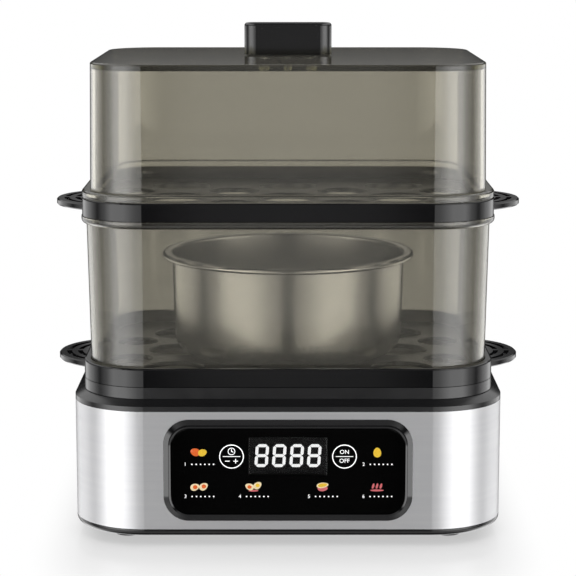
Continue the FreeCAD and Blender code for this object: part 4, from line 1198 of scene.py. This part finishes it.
@dataclass(frozen=True)
class Studio:
    """The pale floor, the lamps and the world around the part.

    Pairs of profiles give the brightness that shiny surfaces mirror, as one times the other. The
    first of a pair goes round from the front, in degrees, and the second up from the horizon.

    Attributes:
        floor_half: half the floor's length.
        shade_half: the part of the floor that keeps its full shade, from the middle.
        shade_stretch: how much faster the shade fades along each axis.
        fade_start: how far out the shade starts to fade.
        fade_end: how far out the floor is plain white.
        white_share: how much plain white is mixed into the floor under the part.
        front: a dim panel ahead, which shows in the upright black faces.
        sides: tall softboxes on both sides, which light the round corners.
        middle: a faint glow over them.
        upper: a bright band over that, for edges and slopes that look up.
        lower: the glow below the horizon, which the stretched gloss of the steel gathers.
        rear: a glow low down behind the part, which lights the far sides of corners.
        beyond: the dark room far behind, which level faces mirror at a low angle.
        loops: a gleam for the level faces of the carrying loops.
        fill: the brightness that lights dull surfaces from all round.
        lens: the camera's focal length in millimetres.
        view_place: where the camera stands.
        view_drop: how far it looks down, in radians.
    """

    floor_half: float = 1.2
    shade_half: tuple[float, float, float] = (0.09, 0.08, 0.0)
    shade_stretch: tuple[float, float, float] = (3.0, 1.0, 0.0)
    fade_start: float = 0.0
    fade_end: float = 0.11
    white_share: float = 0.5
    front: Stops = ((0, 0.34), (2.4, 0.29), (3.9, 0.02), (5.4, 0.0))
    front_rise: Stops = ((-32, 0.0), (-24, 0.1), (-13.5, 0.1), (-12.7, 1.0), (9, 1.0), (17, 0.0))
    sides: Stops = ((5.3, 0.0), (5.7, 1.0), (19, 1.9), (38, 3.6), (62, 3.6), (76, 1.4), (92, 0.3),
                    (100, 0.3), (112, 0.0))
    sides_rise: Stops = ((-32, 0.0), (-24, 0.27), (-18.5, 0.27), (-17, 1.0), (3, 1.0), (9, 0.0))
    upper: Stops = ((0, 0.3), (12, 0.4), (24, 1.4), (38, 2.5), (62, 3.0), (82, 2.6), (100, 1.6), (120, 1.3),
                    (180, 0.8))
    upper_rise: Stops = ((24, 0.0), (35, 1.0), (46, 1.0), (60, 0.35), (75, 0.06), (90, 0.04))
    middle: Stops = ((0, 0.3), (12, 0.4), (24, 0.8), (60, 1.0), (110, 1.1), (180, 0.8))
    middle_rise: Stops = ((12.4, 0.0), (18, 1.0), (25, 1.0), (36, 0.0))
    lower: Stops = ((0, 0.85), (12, 0.85), (24, 1.0), (38, 1.2), (62, 1.4), (82, 1.3), (97, 1.1),
                    (112, 2.6), (150, 2.6), (180, 1.9))
    lower_rise: Stops = ((-90, 0.05), (-60, 0.15), (-46, 1.0), (-32, 1.0), (-24, 0.0))
    rear: Stops = ((96, 0.0), (114, 1.35), (140, 1.65), (150, 1.25), (158, 0.15), (180, 0.05))
    rear_rise: Stops = ((-32, 0.0), (-24, 1.0), (-3, 1.0), (-1, 0.0))
    beyond: Stops = ((96, 0.0), (114, 0.15), (174.3, 0.06), (174.9, 1.0), (180, 1.0))
    beyond_rise: Stops = ((-3, 0.0), (-1, 0.02), (2.7, 0.02), (3.6, 0.13), (7, 0.24), (12, 0.92), (17, 0.0))
    loops: Stops = ((173.0, 0.0), (173.4, 0.13), (174.5, 0.15), (174.9, 0.0))
    loops_rise: Stops = ((4, 0.0), (5.5, 1.0), (8.5, 1.0), (10, 0.25), (13, 0.25), (15, 0.0))
    fill: float = 0.45
    lens: float = 129.3175
    view_place: tuple[float, float, float] = (0.0, -1.064, 0.295)
    view_drop: float = 0.169

    def build(self) -> None:
        """Builds the floor, the lamps, the world and the camera."""
        self.floor()
        self.lamp("top_softbox", (0.0, -0.2, 1.3), (0.0, 0.0, 0.0), 1.4, 9.0)
        self.lamp("left_softbox", (-1.1, -1.0, 0.8), (0.0, 0.0, 0.1), 1.0, 4.5)
        self.lamp("right_softbox", (1.1, -1.0, 0.8), (0.0, 0.0, 0.1), 1.0, 4.5)
        self.world()
        self.camera()

    def floor(self) -> None:
        """Makes the floor, which fades to plain white away from the part."""
        half = self.floor_half
        side = np.array([-half, half])
        corners = np.stack(np.broadcast_arrays(side[None], side[:, None], 0.0), -1)
        mesh = grid_mesh("floor", corners, wrap_columns=False)
        floor = bpy.data.objects.new("floor", mesh)
        bpy.context.scene.collection.objects.link(floor)
        floor.visible_glossy = False
        material = bpy.data.materials.new("pale_floor")
        material.use_nodes = True
        tree = material.node_tree
        tree.nodes.clear()
        place = add(tree, "TexCoord").outputs["Object"]
        apart = add(tree, "VectorMath", {0: place}, operation="ABSOLUTE")
        outside = add(tree, "VectorMath", {0: apart.outputs[0], 1: self.shade_half}, operation="SUBTRACT")
        beyond = add(tree, "VectorMath", {0: outside.outputs[0], 1: (0.0, 0.0, 0.0)}, operation="MAXIMUM")
        shaped = add(tree, "VectorMath", {0: beyond.outputs[0], 1: self.shade_stretch},
                     operation="MULTIPLY")
        away = add(tree, "VectorMath", {0: shaped.outputs[0]}, operation="LENGTH")
        fade = add(tree, "MapRange", {"Value": away.outputs["Value"], "From Min": self.fade_start,
                                      "From Max": self.fade_end}, interpolation_type="SMOOTHSTEP")
        lit = add(tree, "BsdfPrincipled", {"Base Color": linear("#d2d2d2"), "Roughness": 0.12, "IOR": 1.3})
        white = add(tree, "Emission", {"Color": (1.0, 1.0, 1.0, 1.0), "Strength": 1.0})
        share = add(tree, "MapRange", {"Value": fade.outputs["Result"], "To Min": self.white_share})
        shown = add(tree, "MixShader", {0: share.outputs["Result"], 1: lit.outputs["BSDF"],
                                        2: white.outputs[0]})
        plain = add(tree, "BsdfDiffuse", {"Color": linear("#f4f4f4")})
        path = add(tree, "LightPath")
        both = add(tree, "MixShader", {0: path.outputs["Is Camera Ray"], 1: plain.outputs[0],
                                       2: shown.outputs[0]})
        add(tree, "OutputMaterial", {"Surface": both.outputs["Shader"]})
        mesh.materials.append(material)

    def lamp(self, name: str, place: tuple[float, float, float], target: tuple[float, float, float],
             size: float, power: float) -> None:
        """Hangs a square softbox that lights the part but isn't mirrored in it.

        Args:
            name: the lamp's name.
            place: where it hangs.
            target: what it looks at.
            size: the length of its sides in metres.
            power: its power in watts.
        """
        light = bpy.data.lights.new(name, "AREA")
        light.size = size
        light.energy = power
        lamp = bpy.data.objects.new(name, light)
        bpy.context.scene.collection.objects.link(lamp)
        lamp.matrix_world = aimed(place, target)
        lamp.visible_camera = False
        lamp.visible_glossy = False

    def mirrored(self, tree: bpy.types.NodeTree) -> bpy.types.NodeSocket:
        """Adds the brightness that shiny surfaces mirror, by the direction that they look in.

        Args:
            tree: the world's node tree.

        Returns:
            The brightness.
        """
        parts = add(tree, "SeparateXYZ", {"Vector": add(tree, "TexCoord").outputs["Generated"]})
        forward = maths(tree, "MULTIPLY", parts.outputs["Y"], -1.0)
        turn = maths(tree, "ARCTAN2", parts.outputs["X"], forward)
        around = maths(tree, "DEGREES", maths(tree, "ABSOLUTE", turn))
        height = maths(tree, "DEGREES", maths(tree, "ARCSINE", parts.outputs["Z"]))
        total: bpy.types.NodeSocket | float = 0.0
        pairs = ((self.front, self.front_rise), (self.sides, self.sides_rise),
                 (self.middle, self.middle_rise), (self.upper, self.upper_rise),
                 (self.lower, self.lower_rise), (self.rear, self.rear_rise),
                 (self.beyond, self.beyond_rise), (self.loops, self.loops_rise))
        for first, second in pairs:
            total = maths(tree, "MULTIPLY_ADD", curve(tree, around, first),
                          curve(tree, height, second), total)
        return total

    def world(self) -> None:
        """Makes the world: plain white where it is looked at, a studio where it is mirrored."""
        world = bpy.data.worlds.new("studio")
        bpy.context.scene.world = world
        world.use_nodes = True
        tree = world.node_tree
        tree.nodes.clear()
        path = add(tree, "LightPath")
        bounced = maths(tree, "ADD", path.outputs["Glossy Depth"], path.outputs["Diffuse Depth"])
        straight = maths(tree, "LESS_THAN", bounced, 0.5)
        bright = mixed(tree, path.outputs["Is Diffuse Ray"], self.mirrored(tree), self.fill)
        sky = add(tree, "Background", {"Color": (1.0, 1.0, 1.0, 1.0),
                                       "Strength": mixed(tree, straight, bright, 1.0)})
        add(tree, "OutputWorld", {"Surface": sky.outputs[0]})

    def camera(self) -> None:
        """Sets the camera at the photograph's viewing angle."""
        eye = bpy.data.cameras.new("camera")
        eye.sensor_width = 36.0
        eye.lens = self.lens
        view = bpy.data.objects.new("camera", eye)
        bpy.context.scene.collection.objects.link(view)
        view.location = self.view_place
        view.rotation_euler = (math.pi / 2 - self.view_drop, 0.0, 0.0)
        bpy.context.scene.camera = view


def main() -> None:
    """Builds the sub-assemblies from the bottom up, then the room, and notes each one as it is built."""
    for assembly in (Base(), ControlPanel(), EggTrays(), Bowl(), ClearParts(), Studio()):
        assembly.build()
        log.info("built %s", type(assembly).__name__)
    bpy.context.scene.view_settings.view_transform = "Standard"


if __name__ == "__main__":
    logging.basicConfig(level=logging.INFO, format="%(name)s: %(message)s")
    main()
